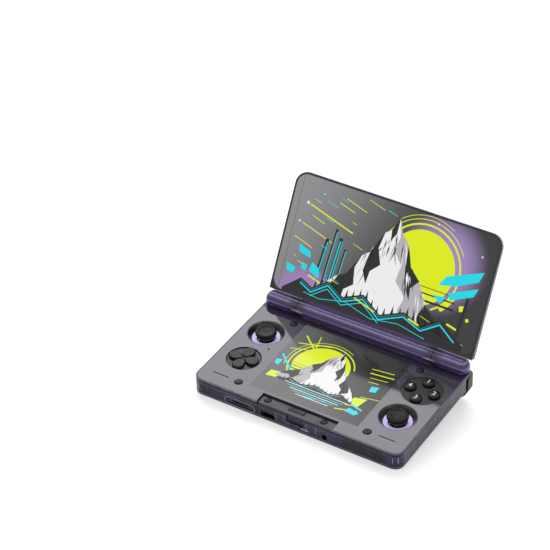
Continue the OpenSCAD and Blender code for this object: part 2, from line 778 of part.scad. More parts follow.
yoke_in = 3.9;
yoke_out = 5.4;
yoke_h = 1.5;
trunnion_r = 0.6;
ball_r = 2.5;
cavity_r = 6.3;

module stick_housing() {
    half = stick_side / 2;
    ear = half + 1.6;
    color("#3a3a40") difference() {
        union() {
            block(-half, half, -half, half, pivot_z - 3.6, housing_top);
            block(-ear, ear, -ear, ear, board_bottom - 0.8, board_bottom);
        }
        disc(0, 0, cavity_r, pivot_z - 3, cut);
        rod_x(-half + 0.8, half - 0.8, trunnion_r + run_gap, 0, pivot_z);
    }
}

module stick_bezel() {
    lip = well_r - 0.3;
    color(black) rotate_extrude() polygon([
        [lip, -0.1], [well_r, -0.1], [well_r, web_bottom - fit_gap], [well_r + 0.9, web_bottom - fit_gap],
        [well_r + 0.9, light_top - 0.3], [light_r + 0.1, light_top - 0.3], [light_r + 0.1, light_top + 0.2]
    ]);
}

module light_ring() {
    color(lilac) rotate_extrude() polygon([
        [cavity_r, housing_top], [light_r, housing_top], [light_r, light_top], [cavity_r, light_top - 0.2]
    ]);
}

module stick_yoke() {
    half = stick_side / 2;
    color("#8d8d92") difference() {
        union() {
            disc(0, 0, yoke_out, pivot_z - yoke_h / 2, pivot_z + yoke_h / 2);
            rod_x(-half + 1, half - 1, trunnion_r, 0, pivot_z);
        }
        disc(0, 0, yoke_in, pivot_z - yoke_h, pivot_z + yoke_h);
        rod_y(-yoke_out - cut, yoke_out + cut, trunnion_r + run_gap, 0, pivot_z);
    }
}

module stick_pivot() {
    color("#c9c9cd") {
        translate([0, 0, pivot_z]) sphere(r=ball_r);
        disc(0, 0, stick_shaft_r, pivot_z, -1);
        rod_y(-yoke_out + 0.2, yoke_out - 0.2, trunnion_r, 0, pivot_z);
    }
}

module thumbstick() {
    cap_edge_r = 1.8;
    low = -0.2;
    foot = pivot_z + ball_r + 0.5;
    dip_r = cap_r - 2.6;
    sleeve_r = stick_shaft_r + 1.1;
    color(black) rotate_extrude() polygon(concat(
        [[0, -0.4], [stick_shaft_r + run_gap, -0.4], [stick_shaft_r + run_gap, foot], [sleeve_r, foot],
         [sleeve_r + 0.5, low - 0.5], [cap_r - 0.7, low]],
        arc(cap_r - 0.4, low + 0.4, 0.4, -90, 0, 2),
        arc(cap_r - cap_edge_r, cap_top - cap_edge_r, cap_edge_r, 0, 90, 6),
        [[dip_r, cap_top - 0.35], [dip_r - 1.2, cap_top - 0.5], [0, cap_top - 0.55]]));
}

module face_button_plate() {
    top = -0.3;
    neck_r = cluster_r - 0.4;
    lip_r = cluster_r + 0.8;
    lip_top = web_bottom - fit_gap;
    color("#3b3a40") difference() {
        at(upper_x, upper_y) rotate_extrude() polygon([
            [0, web_bottom], [neck_r, web_bottom], [neck_r, flange_top - flange_t], [lip_r, flange_top - flange_t],
            [lip_r, lip_top], [cluster_r, lip_top], [cluster_r, top], [0, top]
        ]);
        for (i = [0:3]) disc(face_spot(i)[0], face_spot(i)[1], face_r + button_gap, -base_h, cut);
    }
}

// Domed rubber sheets on the board, under the direction pad and the face buttons
module button_membranes() {
    color("#55555c") {
        difference() {
            disc(-lower_x, lower_row_y, dish_r - 1.6, board_top, membrane_top);
            disc(-lower_x, lower_row_y, pad_ball_r + 1.9, -base_h, 0);
        }
        disc(upper_x, upper_y, cluster_r, board_top, membrane_top);
    }
}

pad_ball_z = membrane_top + 0.9;

module dpad_pivot() {
    color("silver") {
        translate([-lower_x, lower_row_y, pad_ball_z]) sphere(r=pad_ball_r);
        disc(-lower_x, lower_row_y, pad_ball_r * 0.6, board_top + 0.15, pad_ball_z);
    }
}

// A four-lobed cross on a round dish that rocks as one piece
module dpad() {
    arm_r = 3.7;
    arm = dish_r - arm_r - 1.2;
    disc_r = dish_r - 0.4;
    socket_r = pad_ball_r + 0.15;
    color(black) at(-lower_x, lower_row_y) difference() {
        union() {
            disc(0, 0, disc_r, -2, -0.6);
            disc(0, 0, socket_r + 1.5, pad_ball_z, -1.8);
            for (i = [0:3]) rotate([0, 0, 90 * i]) {
                disc(arm, 0, arm_r, -1, pad_top);
                block(0, arm, -arm_r + 0.4, arm_r - 0.4, -1, pad_top);
                disc(7, 0, 1.2, pad_ball_z + 0.2, -1.8);
            }
        }
        translate([0, 0, pad_ball_z]) sphere(r=socket_r);
        disc(0, 0, 1.6, pad_top - 0.4, pad_top + cut);
    }
}

module face_button(i) {
    color(black) at(face_spot(i)[0], face_spot(i)[1]) button(face_r, face_top, face_r + 0.4, face_r - 0.9, membrane_top + 1.2);
}

module small_button(x, y, r) {
    color(black) at(x, y) difference() {
        button(r, small_top, r + 0.6, 1.2, board_top + 0.6);
        disc(0, 0, 0.7, small_top - 0.2, small_top + cut);
    }
}

module strip_button(x) {
    color(black) at(x, strip_y) button(strip_r, web_top + strip_top, strip_r + 0.5, 1, strip_board_top + 0.5);
}

module volume_rocker() {
    l = rocker_l / 2;
    w = rocker_w / 2;
    rim_top = flange_top - 0.2;
    color(black) at(-rocker_x, strip_y + 0.5) {
        block(-l, l, -w, w, rim_top, web_top + strip_top);
        block(-l - 0.4, l + 0.4, -w, w, flange_top - flange_t, rim_top);
        for (x = [-l + 1.6, l - 1.6]) disc(x, 0, 0.9, strip_board_top + 0.6, flange_top - flange_t + cut);
    }
}

shoulder_pin_r = 0.9;

module shoulder_button() {
    back = base_d + shoulder_proud;
    side = half_w + shoulder_out;
    r = shoulder_corner_r;
    front = pocket_y + 2.2;
    skin = 1.8;
    color(black) {
        translate([0, 0, shoulder_bottom]) linear_extrude(shoulder_h) difference() {
            union() {
                translate([shoulder_x, front]) square([side - r - shoulder_x, back - front]);
                translate([shoulder_x, front]) square([side - shoulder_x, back - r - front]);
                translate([side - r, back - r]) circle(r);
            }
            translate([shoulder_x - cut, front - cut])
                square([side - skin - shoulder_x + cut, back - shoulder_t - front + cut]);
        }
        disc(shoulder_x + 2, base_d - 1.5, shoulder_pin_r, shoulder_top, pocket_top + 1);
    }
}

module trigger_body(r, y0, y1, edge) {
    l = y1 - y0;
    translate([trigger_x, y0, -trigger_drop]) rotate([-90, 0, 0]) rotate_extrude()
        polygon(concat([[0, 0], [r, 0]], high_edge(r, l, edge), [[0, l]]));
}

module trigger() {
    hub = ear_in - ear_t - 0.4;
    y0 = trigger_back - trigger_d;
    color(black) difference() {
        union() {
            difference() {
                trigger_body(trigger_r, y0, trigger_back, 2.4);
                trigger_body(trigger_r - trigger_t, y0 - cut, trigger_back - trigger_t, 1);
            }
            rod_x(trigger_x - hub, trigger_x + hub, pin_r + 0.9, trigger_pin_y, trigger_pin_z);
            block(trigger_x - hub, trigger_x + hub, trigger_pin_y, trigger_back - trigger_t + cut,
                  trigger_pin_z - 1, trigger_pin_z + 1);
        }
        rod_x(trigger_x - hub - cut, trigger_x + hub + cut, pin_r + run_gap, trigger_pin_y, trigger_pin_z);
        translate([0, trigger_back, trigger_top]) rotate([8, 0, 0]) block(0, base_w, -base_w, base_w, 0, base_w);
    }
}

module trigger_pins() {
    color("silver") both() rod_x(trigger_x - ear_in - spring_l, trigger_x + ear_in, pin_r, trigger_pin_y, trigger_pin_z);
}

// Return springs round the pins, outside the ears
module trigger_springs() {
    color("#9a9aa0") both() difference() {
        rod_x(trigger_x - ear_in - spring_l, trigger_x - ear_in, pin_r + 0.7, trigger_pin_y, trigger_pin_z);
        rod_x(trigger_x - ear_in - 2, trigger_x, pin_r, trigger_pin_y, trigger_pin_z);
    }
}

module hinge_cartridges() {
    x0 = cartridge_start;
    color("#a9a9b0") both() difference() {
        rod_x(x0, x0 + cartridge_l, cartridge_r, axis_y, axis_z);
        rod_x(x0 - cut, x0 + cartridge_l - 1, shaft_r + run_gap, axis_y, axis_z);
    }
}

module rubber_feet() {
    foot_h = 6;
    color("#2a2a2c") both() {
        difference() {
            translate([foot_x, front_foot_y, front_foot_z]) rotate([-tilt, 0, 0]) cylinder(h=foot_h, r=foot_r);
            block(0, base_w, -base_w, base_w, -base_h, base_h);
        }
        difference() {
            translate([trigger_x, rear_foot_y, rear_foot_z]) rotate([-tilt, 0, 0]) cylinder(h=foot_h, r=foot_r);
            hump(hump_r, hump_y, hump_y - hump_l);
        }
    }
}

module case_screw(x, y, top) {
    disc(x, y, screw_r - fit_gap, -base_h + 0.7, top);
    difference() {
        disc(x, y, 1.5, -base_h, -base_h + 0.8);
        disc(x, y, 0.7, -base_h - cut, -base_h + 0.4);
    }
}

module case_screws() {
    color("#8a8a90") both() {
        case_screw(screw_x, screw_front_y, web_bottom - 2);
        case_screw(screw_rear_x, screw_rear_y, trough_floor - web_t - 2);
    }
}

module lid_slab(inset, z0, z1, back_r) {
    slab(base_w - 2 * inset, -lid_reach + inset, -lid_foot - inset, z0, z1, lid_corner_r - inset, back_r);
}

module lid_back_shell() {
    foot_corner_r = 1;
    color(purple) lid_open() difference() {
        union() {
            soft_slab(base_w, -lid_reach, -lid_foot, 0, lid_t, lid_corner_r, foot_corner_r, 0.2, lid_edge_r);
            block(-barrel_half, barrel_half, -lid_foot - cut, 0, 0, lid_web_t);
            rod_x(-barrel_half, barrel_half, barrel_r, 0, 0);
        }
        lid_slab(rim_w, -cut, lid_glass_t, 1);
        lid_slab(rim_w + lid_ledge, -cut, lid_t - lid_panel_t, 1);
        rod_x(-barrel_half - cut, barrel_half + cut, cartridge_r, 0, 0);
    }
}

module lid_glass() {
    color("#4c4c52") lid_open() lid_slab(rim_w + fit_gap, 0, lid_glass_t, 1);
}

module upper_display() {
    z0 = lid_glass_t + fit_gap;
    color("#1e1e22") lid_open()
        block(-upper_w / 2, upper_w / 2, -lid_mid - upper_h / 2, -lid_mid + upper_h / 2, z0, z0 + upper_t);
}

module lid_shield() {
    z0 = lid_glass_t + upper_t + 2 * fit_gap;
    w = base_w / 2 - rim_w - lid_ledge - 0.5;
    color("#4d4860") lid_open()
        block(-w + lid_corner_r, w - lid_corner_r, -lid_reach + rim_w + lid_ledge + 0.5, -lid_foot - rim_w - lid_ledge - 0.5,
              z0, z0 + shield_t);
}

module hinge_shafts() {
    color("#c2c2c8") lid_open() both() {
        rod_x(shaft_start, barrel_half, cartridge_r - fit_gap, 0, 0);
        rod_x(barrel_half - cut, cartridge_start + cartridge_l - 1.4, shaft_r, 0, 0);
    }
}

// The ribbon to the upper display, rolled up inside the barrel
module display_cable() {
    half_l = 13;
    color("#7a4a20") lid_open() difference() {
        rod_x(-half_l, half_l, cartridge_r - 0.2, 0, 0);
        rod_x(-half_l - cut, half_l + cut, cartridge_r - 0.9, 0, 0);
    }
}

seated() base_frame();
seated() bottom_cover();
seated() deck_faceplate();
seated() lower_display();
seated() main_board();
seated() strip_board();
seated() port_board();
seated() battery();
seated() heat_spreader();
seated() speakers();
seated() usb_port();
seated() headphone_jack();
seated() card_slot();
seated() indicator_window();
seated() stick_left() stick_housing();  // stick_housing_left
seated() stick_right() stick_housing();  // stick_housing_right
seated() stick_left() stick_bezel();  // stick_bezel_left
seated() stick_right() stick_bezel();  // stick_bezel_right
seated() stick_left() light_ring();  // light_ring_left
seated() stick_right() light_ring();  // light_ring_right
seated() stick_left() stick_yoke();  // stick_yoke_left
seated() stick_right() stick_yoke();  // stick_yoke_right
seated() stick_left() stick_pivot();  // stick_pivot_left
seated() stick_right() stick_pivot();  // stick_pivot_right
seated() stick_left() thumbstick();  // thumbstick_left
seated() stick_right() thumbstick();  // thumbstick_right
seated() face_button_plate();
seated() button_membranes();
seated() dpad_pivot();
seated() dpad();
seated() face_button(0);  // face_button_top
seated() face_button(1);  // face_button_right
seated() face_button(2);  // face_button_bottom
seated() face_button(3);  // face_button_left
seated() small_button(-small_x, small_rear_y, small_rear_r);  // small_button_rear_left
seated() small_button(small_x, small_rear_y, small_rear_r);  // small_button_rear_right
seated() small_button(-small_x, small_front_y, small_front_r);  // small_button_front_left
seated() small_button(small_x, small_front_y, small_front_r);  // small_button_front_right
seated() strip_button(-power_x);  // power_button
seated() strip_button(function_x);  // function_button
seated() volume_rocker();
seated() left() shoulder_button();  // shoulder_button_left
seated() shoulder_button();  // shoulder_button_right
seated() left() trigger();  // trigger_left
seated() trigger();  // trigger_right
seated() trigger_pins();
seated() trigger_springs();
seated() left() knuckle();  // hinge_knuckle_left
seated() knuckle();  // hinge_knuckle_right
seated() hinge_cartridges();
seated() rubber_feet();
seated() case_screws();
seated() lid_back_shell();
seated() lid_glass();
seated() upper_display();
seated() lid_shield();
seated() hinge_shafts();
seated() display_cable();
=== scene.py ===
# %% [markdown]
# # A clamshell handheld console
# The real object is a two-screen handheld in translucent purple plastic: a base with a glossy
# deck, sticks, buttons and triggers, and a lid that is one sheet of glass in a frosted shell.
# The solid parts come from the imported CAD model. This script dresses them: it copies each shell
# for smooth shading, builds the small moulded parts in mesh code, paints the two screens, and
# sets up the camera and the lights of a plain product picture.

# %% Load the frame
import json
import math
import random

import bmesh
import bpy
from mathutils import Matrix, Vector


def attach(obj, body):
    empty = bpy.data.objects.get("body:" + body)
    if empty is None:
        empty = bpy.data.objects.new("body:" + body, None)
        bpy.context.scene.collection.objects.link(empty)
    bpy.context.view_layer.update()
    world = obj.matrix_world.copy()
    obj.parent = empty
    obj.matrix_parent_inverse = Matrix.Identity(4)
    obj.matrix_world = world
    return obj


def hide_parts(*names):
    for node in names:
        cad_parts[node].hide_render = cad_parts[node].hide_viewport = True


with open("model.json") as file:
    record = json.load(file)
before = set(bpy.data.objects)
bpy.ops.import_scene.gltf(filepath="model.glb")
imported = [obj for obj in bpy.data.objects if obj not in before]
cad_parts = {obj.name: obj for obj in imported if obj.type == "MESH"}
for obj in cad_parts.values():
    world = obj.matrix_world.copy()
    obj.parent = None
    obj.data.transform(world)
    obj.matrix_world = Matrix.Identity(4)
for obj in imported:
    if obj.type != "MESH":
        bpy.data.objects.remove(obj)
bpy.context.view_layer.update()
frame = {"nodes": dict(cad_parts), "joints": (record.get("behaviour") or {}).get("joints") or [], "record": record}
nodes = frame["nodes"]
joints = {joint["name"]: joint for joint in frame["joints"]}
bodies = frame["record"]["behaviour"]["bodies"]
body_of = {node: body for body, members in bodies.items() for node in members}

# %% [markdown]
# ## Two places to work in
# The console leans back on its feet, so nothing on the deck is square to the world. Designers
# solve that by drawing on the deck itself. Two matrices do the same here: `deck` takes
# millimetres right, back and up from the deck's front edge, and `lid` takes millimetres on the
# closed lid, from the hinge axis. Both come from the hinge and from a button's line of travel,
# so a change in the CAD model moves everything along.

# %% Deck and lid places
MM = 0.001
HINGE_BACK = 89.8
HINGE_UP = 3.4

travel = Vector(joints["face_button_top_press"]["axis"])
lean = math.atan2(-travel.y, travel.z)
hinge = Vector(joints["lid_hinge"]["pos_m"])
open_angle = math.radians(-joints["lid_hinge"]["range_deg"][0])
at_hinge = Matrix.Translation(hinge) @ Matrix.Rotation(lean, 4, "X")
deck = at_hinge @ Matrix.Scale(MM, 4) @ Matrix.Translation((0, -HINGE_BACK, -HINGE_UP))
lid = at_hinge @ Matrix.Rotation(-open_angle, 4, "X") @ Matrix.Scale(MM, 4)


def span(node, place=deck):
    """Lowest and highest corner of a CAD node, in millimetres of that place."""
    back = place.inverted()
    points = [back @ v.co for v in nodes[node].data.vertices]
    low = Vector([min(p[i] for p in points) for i in range(3)])
    high = Vector([max(p[i] for p in points) for i in range(3)])
    return low, high


print("the deck leans", round(math.degrees(lean), 2), "degrees")
print("faceplate", [round(v, 1) for v in span("deck_faceplate")[1]])

# %% [markdown]
# ## The camera first
# The photograph was taken with a long lens from the front right, well above the deck. The
# camera's place was solved once from corners, holes and edges whose sizes are known, so it is
# written here as a position, three angles and a lens.

# %% Camera
CAMERA_AT = (0.5419, -1.018524, 0.777886)
CAMERA_AZIMUTH = 30.344853
CAMERA_ELEVATION = 31.170813
CAMERA_ROLL = 2.876968
LENS_MM = 142.0756


def look_axes(azimuth, elevation, roll):
    """The camera's right, up and backward directions."""
    a, e, r = (math.radians(v) for v in (azimuth, elevation, roll))
    back = Vector((math.sin(a) * math.cos(e), -math.cos(a) * math.cos(e), math.sin(e)))
    right = Vector((math.cos(a), math.sin(a), 0))
    up = back.cross(right)
    return right * math.cos(r) + up * math.sin(r), up * math.cos(r) - right * math.sin(r), back


scene = bpy.context.scene
camera = bpy.data.objects.new("photo_camera", bpy.data.cameras.new("photo_camera"))
scene.collection.objects.link(camera)
turned = Matrix(look_axes(CAMERA_AZIMUTH, CAMERA_ELEVATION, CAMERA_ROLL)).transposed().to_4x4()
camera.matrix_world = Matrix.Translation(CAMERA_AT) @ turned
camera.data.lens = LENS_MM
camera.data.sensor_width = 36
camera.data.clip_start = 0.05
scene.camera = camera
print("camera", [round(v, 3) for v in camera.location], "lens", LENS_MM)

# %% [markdown]
# ## Colours and finishes
# A finish is more than a colour. Moulded plastic has a fine grain and slow changes in gloss,
# clear plastic lets light through, and metal has turning marks. Each finish below starts from
# one shader, and small helpers add the colour changes, the gloss changes and the bumps, all
# from noise that is fixed to the piece.


# %% Helpers for finishes
def shade(code):
    """A colour as it looks on a monitor, turned into the light values Blender works in."""
    parts = [int(code[i:i + 2], 16) / 255 for i in (1, 3, 5)]
    return [v / 12.92 if v <= 0.04045 else ((v + 0.055) / 1.055) ** 2.4 for v in parts]


def way_of(place, axis):
    """The direction of a place's axis: 0 is right, 1 is back and 2 is up."""
    return place.to_3x3().col[axis].normalized()


class Tree:
    """A tree of nodes, with short ways to add to it."""

    def __init__(self, tree):
        self.tree = tree

    def node(self, kind, **values):
        made = self.tree.nodes.new("ShaderNode" + kind)
        for key, value in values.items():
            if key in made.inputs:
                made.inputs[key].default_value = value
            else:
                setattr(made, key, value)
        return made

    def feed(self, value, socket):
        """Gives a socket a node's output, a colour code or a constant."""
        if isinstance(value, bpy.types.NodeSocket):
            self.tree.links.new(value, socket)
        else:
            socket.default_value = (*shade(value), 1) if isinstance(value, str) else value

    def calc(self, operation, *values, **settings):
        """One step of arithmetic on outputs and constants."""
        made = self.node("Math", operation=operation, **settings)
        for value, socket in zip(values, made.inputs):
            self.feed(value, socket)
        return made.outputs[0]

    def spread(self, value, low, high, low_in=0.35, high_in=0.65, kind="LINEAR"):
        """Turns the values from low_in to high_in into values from low to high."""
        limits = {"From Min": low_in, "From Max": high_in, "To Min": low, "To Max": high}
        made = self.node("MapRange", interpolation_type=kind, **limits)
        self.feed(value, made.inputs["Value"])
        return made.outputs[0]

    def blend(self, factor, first, second):
        """Mixes two colours, each a code or an output."""
        made = self.node("Mix", data_type="RGBA")
        for value, index in ((factor, 0), (first, 6), (second, 7)):
            self.feed(value, made.inputs[index])
        return made.outputs[2]


class Finish(Tree):
    """A material with one Principled shader. It can be given its mottle, its uneven gloss and
    its grain at once, each as the numbers that the method of that name takes."""

    def __init__(self, name, colour, rough, mottle=None, uneven=None, grain=None, **sockets):
        self.mat = bpy.data.materials.new(name)
        self.mat.use_nodes = True
        super().__init__(self.mat.node_tree)
        self.shader = self.tree.nodes["Principled BSDF"]
        self.colour = colour
        self.place = None
        self.set(Base_Color=colour, Roughness=rough, **sockets)
        for method, numbers in ((self.mottle, mottle), (self.uneven, uneven), (self.grain, grain)):
            if numbers:
                method(*numbers)

    def set(self, **sockets):
        for name, value in sockets.items():
            self.feed(value, self.shader.inputs[name.replace("_", " ")])
        return self

    def where(self):
        """The point on the piece, in millimetres."""
        if self.place is None:
            scale = self.node("VectorMath", operation="SCALE", Scale=1 / MM)
            self.feed(self.node("TexCoord").outputs["Object"], scale.inputs[0])
            self.place = scale.outputs[0]
        return self.place

    def noise(self, size, detail=3, stretch=(1, 1, 1)):
        """Noise with features about that many millimetres across."""
        mapping = self.node("Mapping", Scale=[s / size for s in stretch])
        self.feed(self.where(), mapping.inputs["Vector"])
        made = self.node("TexNoise", Detail=detail, Roughness=0.5, Scale=1)
        self.feed(mapping.outputs[0], made.inputs["Vector"])
        return made.outputs["Fac"]

    def mottle(self, other, size, detail=3, stretch=(1, 1, 1)):
        """Slow changes between the finish's colour and another."""
        share = self.spread(self.noise(size, detail, stretch), 0, 1)
        return self.set(Base_Color=self.blend(share, self.colour, other))

    def uneven(self, low, high, size):
        """Slow changes in gloss."""
        return self.set(Roughness=self.spread(self.noise(size), low, high))

    def grain(self, size, depth, strength):
        """The fine relief of a moulded or blasted face."""
        made = self.node("Bump", Strength=strength, Distance=depth * MM)
        self.feed(self.noise(size, 2), made.inputs["Height"])
        return self.set(Normal=made.outputs[0])

    def along(self, direction, origin):
        """How far each point lies from origin in that direction, in millimetres."""
        moved, dot = (self.node("VectorMath", operation=name) for name in ("SUBTRACT", "DOT_PRODUCT"))
        for value, socket in ((self.where(), moved.inputs[0]), (origin / MM, moved.inputs[1]),
                              (moved.outputs[0], dot.inputs[0]), (direction, dot.inputs[1])):
            self.feed(value, socket)
        return dot.outputs["Value"]

    def near(self, place, axis, at, width, amount):
        """How near each point lies to one height of a place: amount at it, 0 at width from it."""
        off = self.calc("SUBTRACT", self.along(way_of(place, axis), place.translation), at)
        return self.spread(self.calc("ABSOLUTE", off), amount, 0, width / 3, width)

    def over(self, factor, code):
        """Lays a shade over the colour so far."""
        below = self.shader.inputs["Base Color"].links[0].from_socket
        return self.set(Base_Color=self.blend(factor, below, code))

    def streaks(self, code, size, stretch, low_in, high_in):
        """Ribs and bosses that show through as stripes of another shade."""
        return self.over(self.spread(self.noise(size, 2, stretch), 0, 1, low_in, high_in), code)

    def lines(self, place, *rows):
        """Soft lines where a clear moulding gathers light or shade. Each has an axis of the
        place, a height on it, a width, a shade and an amount."""
        for axis, at, width, code, amount in rows:
            self.over(self.near(place, axis, at, width, amount), code)
        return self

    def dash(self, place, bands, code, amount):
        """A stroke where bands of a place cross, such as a post behind clear plastic or a painted glint."""
        for band in bands:
            amount = self.calc("MULTIPLY", amount, self.near(place, *band, 1))
        return self.over(amount, code)


print("helpers ready")

# %% [markdown]
# ## The plastics
# The case is clear plastic dyed purple. Light goes in, is held by the dye and comes out weaker,
# so thin walls look grey-purple and deep edges look dark. A shader that lets part of the light
# through, over the console's real boards and battery, gives that depth. Edges that gather light
# or shade get painted highlights and painted shade, as soft lines of colour. The notch's posts are
# strokes where such lines cross; the hinge's bright ends are painted glints made the same way.
# The lid's back has the same dye with a blasted inner face, so it glows but hides what is behind it.

# %% Case plastics
case_purple = Finish("case_purple", "#2e2745", 0.14, ("#54467c", 20, 2), (0.1, 0.2, 14), (0.8, 0.02, 0.2),
                     IOR=1.5, Transmission_Weight=0.5, Specular_IOR_Level=0.1)
case_purple.streaks("#15121d", 8, (1, 1, 0.02), 0.46, 0.58)
case_purple.streaks("#8277a8", 3, (1, 1, 0.03), 0.62, 0.72)
# Painted light and shade on the walls: a dark line under the deck's edge (painted shade), a painted highlight line
# below it, a dark line on the lower chamfer (painted shade), and a wide band of painted shade over the right half
# of the front wall.
case_purple.lines(deck, (2, -1.5, 0.9, "#0d0b12", 0.9), (2, -2.8, 0.5, "#9086b2", 0.6),
                  (2, -9.4, 0.9, "#0f0c15", 0.8), (0, 50, 22, "#0c0a11", 0.75))
NOTCH_POSTS = (-13, -4, 9, 16)
for post in NOTCH_POSTS:
    case_purple.dash(deck, [(0, post, 1.1), (2, -5.2, 5), (1, 0, 30)], "#9a90b8", 0.6)

tray_purple = Finish("tray_purple", "#17121f", 0.2, ("#282138", 18, 2), (0.16, 0.28, 12), (0.7, 0.02, 0.3),
                     IOR=1.5, Transmission_Weight=0.4, Specular_IOR_Level=0.22)
# A painted highlight line along the tray's top edge, just below the seam.
tray_purple.lines(deck, (2, -10.6, 0.5, "#a094c6", 0.8))

# Painted highlight: a lighter purple for the frame's rounded edge, where it catches the lamp.
edge_highlight_purple = Finish("edge_highlight_purple", "#5d5478", 0.3, ("#7d7399", 9, 2), (0.24, 0.36, 8), (0.6, 0.02, 0.3),
                     Specular_IOR_Level=0.35)
rim_purple = Finish("rim_purple", "#2b2336", 0.4, ("#352b44", 14, 2), (0.34, 0.46, 8), (0.6, 0.02, 0.3),
                    Specular_IOR_Level=0.3)
# The smoky dark strip; the same finish is painted shade in the recess under the strip.
strip_smoke_and_recess_shade = Finish("strip_smoke_and_recess_shade", "#24212b", 0.26, ("#2c2834", 4), (0.18, 0.34, 5), (0.6, 0.02, 0.3),
                     Specular_IOR_Level=0.26)
print("case plastics ready")

# %% Barrel and lid plastics
barrel_purple = Finish("barrel_purple", "#5c4688", 0.1, ("#7862a4", 9, 2, (0.03, 1, 1)), None,
                       (2.5, 0.02, 0.15), IOR=1.5, Transmission_Weight=0.35, Specular_IOR_Level=0.3)
# Painted highlights and painted shade: light and dark bands along the barrel, where a polished tube catches the
# lamps.
barrel_purple.lines(deck, (2, 8.0, 0.5, "#d6caf4", 0.6), (2, 6.5, 1.0, "#43326c", 0.7),
                    (2, 4.9, 0.6, "#b3a0e0", 0.6), (2, 3.0, 0.9, "#3d2d60", 0.7),
                    (2, 1.7, 0.4, "#a08ed0", 0.6))
KNUCKLE_X = span("hinge_knuckle_right")[0].x
LID_SIDE = 72.5
lid_frost = Finish("lid_frost", "#5f5384", 0.34, ("#6d6194", 30, 2), None, (0.5, 0.03, 0.35), IOR=1.5,
                   Transmission_Weight=0.2, Coat_Weight=0.3, Coat_Roughness=0.12)
lid_frost.streaks("#554a78", 34, (1, 0.5, 1), 0.45, 0.7)
for side in (-1, 1):
    barrel_purple.lines(deck, (0, side * KNUCKLE_X, 7.5, "#221833", 0.72))
    # A painted glint where the knuckle meets the barrel.
    barrel_purple.dash(deck, [(0, side * (KNUCKLE_X - 1.5), 5.5), (2, 4.4, 0.8)], "#e6dcff", 0.9)
    # Painted shade: a dark band inside each side of the lid's back.
    lid_frost.lines(lid, (0, side * LID_SIDE, 4, "#2d2244", 0.8))
# Painted shade along the lid's far edge too.
lid_frost.lines(lid, (1, -84.5, 4, "#2d2244", 0.8), (0, 46, 0.7, "#4b4069", 0.5))
# Painted shade and painted highlight: a dark line and a light line beside it for each step near the barrel.
for step in (7.2, 10, 13.4):
    lid_frost.lines(lid, (1, -step, 0.5, "#3f3460", 0.6), (1, -step - 0.8, 0.4, "#8f84b4", 0.5))

lid_panel = Finish("lid_panel", "#786b97", 0.34, ("#7e729f", 16, 2), None, (0.5, 0.03, 0.35),
                   Coat_Weight=0.3, Coat_Roughness=0.12)
lid_edge = Finish("lid_edge", "#332850", 0.14, ("#473b68", 12, 2), (0.1, 0.2, 9), (0.7, 0.02, 0.2),
                  IOR=1.5, Transmission_Weight=0.3)
# A painted highlight line near the back face of the rolled edge, and a painted shade line near the glass side.
lid_edge.lines(lid, (2, 3.9, 0.5, "#9a8cc8", 0.7), (2, 0.3, 0.3, "#1c1628", 0.6))
print("lid plastics ready")

# %% Black parts
black_button = Finish("black_button", "#0c0c0e", 0.36, ("#161619", 3), (0.3, 0.42, 2), (0.25, 0.02, 0.3),
                      Specular_IOR_Level=0.2)
black_rubber = Finish("black_rubber", "#0c0d0d", 0.5, ("#191b1a", 4), (0.38, 0.54, 2.5), (0.3, 0.04, 0.5),
                      Specular_IOR_Level=0.16)
trigger_black = Finish("trigger_black", "#131414", 0.45, ("#262827", 6), (0.36, 0.5, 4), (0.35, 0.03, 0.4),
                       Specular_IOR_Level=0.35)
well_black = Finish("well_black", "#08080a", 0.35, ("#121216", 5), (0.28, 0.42, 3), (0.4, 0.02, 0.3))
dark_plastic = Finish("dark_plastic", "#17171b", 0.5, ("#232329", 5), None, (0.4, 0.04, 0.4))
print("black finishes ready")

# %% [markdown]
# ## Glass and metal
# The faceplate is polished and dark underneath, so most of what the eye sees on it is the
# bright studio, mirrored, and the dark lid behind it. A high index of refraction gives that
# strong mirror. The metals have fine lines from rolling and turning, which is noise that is
# stretched along one direction.

# %% Glass, metal and boards
deck_gloss = Finish("deck_gloss", "#332b40", 0.07, ("#3b3248", 40, 2), (0.05, 0.08, 30),
                    IOR=1.57, Specular_IOR_Level=0.5)
plate_dark = Finish("plate_dark", "#17161b", 0.34, ("#26252c", 6), None, (0.4, 0.03, 0.3),
                    Specular_IOR_Level=0.25)
border_glass = Finish("border_glass", "#0c0c0f", 0.06, ("#131318", 30, 1), (0.04, 0.09, 25), IOR=1.5)
steel = Finish("steel", "#b9b9bf", 0.25, ("#a2a2aa", 3, 3, (0.2, 1, 1)), (0.18, 0.34, 1.5),
               (0.5, 0.01, 0.3), Metallic=1)
dark_steel = Finish("dark_steel", "#3c3c42", 0.35, ("#2e2e33", 2), (0.28, 0.45, 1), Metallic=1)
copper = Finish("copper", "#b9714a", 0.3, ("#a45f3c", 6, 3, (1, 0.2, 1)), (0.22, 0.4, 3), Metallic=1)
shield_metal = Finish("shield_metal", "#6a6478", 0.4, ("#5c566a", 9, 3, (1, 0.3, 1)), None,
                      (0.6, 0.02, 0.3), Metallic=0.7)
board_green = Finish("board_green", "#2d5443", 0.35, ("#3d6a56", 2, 1, (1, 0.25, 1)), (0.3, 0.5, 2))
battery_wrap = Finish("battery_wrap", "#222227", 0.45, ("#2c2c33", 12), None, (1.2, 0.05, 0.3))
flex_orange = Finish("flex_orange", "#8a5426", 0.4, ("#a0652f", 1.2, 3, (1, 0.1, 1)), (0.3, 0.5, 2))
panel_dark = Finish("panel_dark", "#101014", 0.2, ("#16161c", 20), (0.15, 0.28, 10))
silicone = Finish("silicone", "#55555c", 0.5, ("#62626a", 5), None, (0.5, 0.03, 0.3),
                  Transmission_Weight=0.2)
feet_rubber = Finish("feet_rubber", "#1c1c1e", 0.8, ("#262628", 2), None, (0.4, 0.06, 0.6))
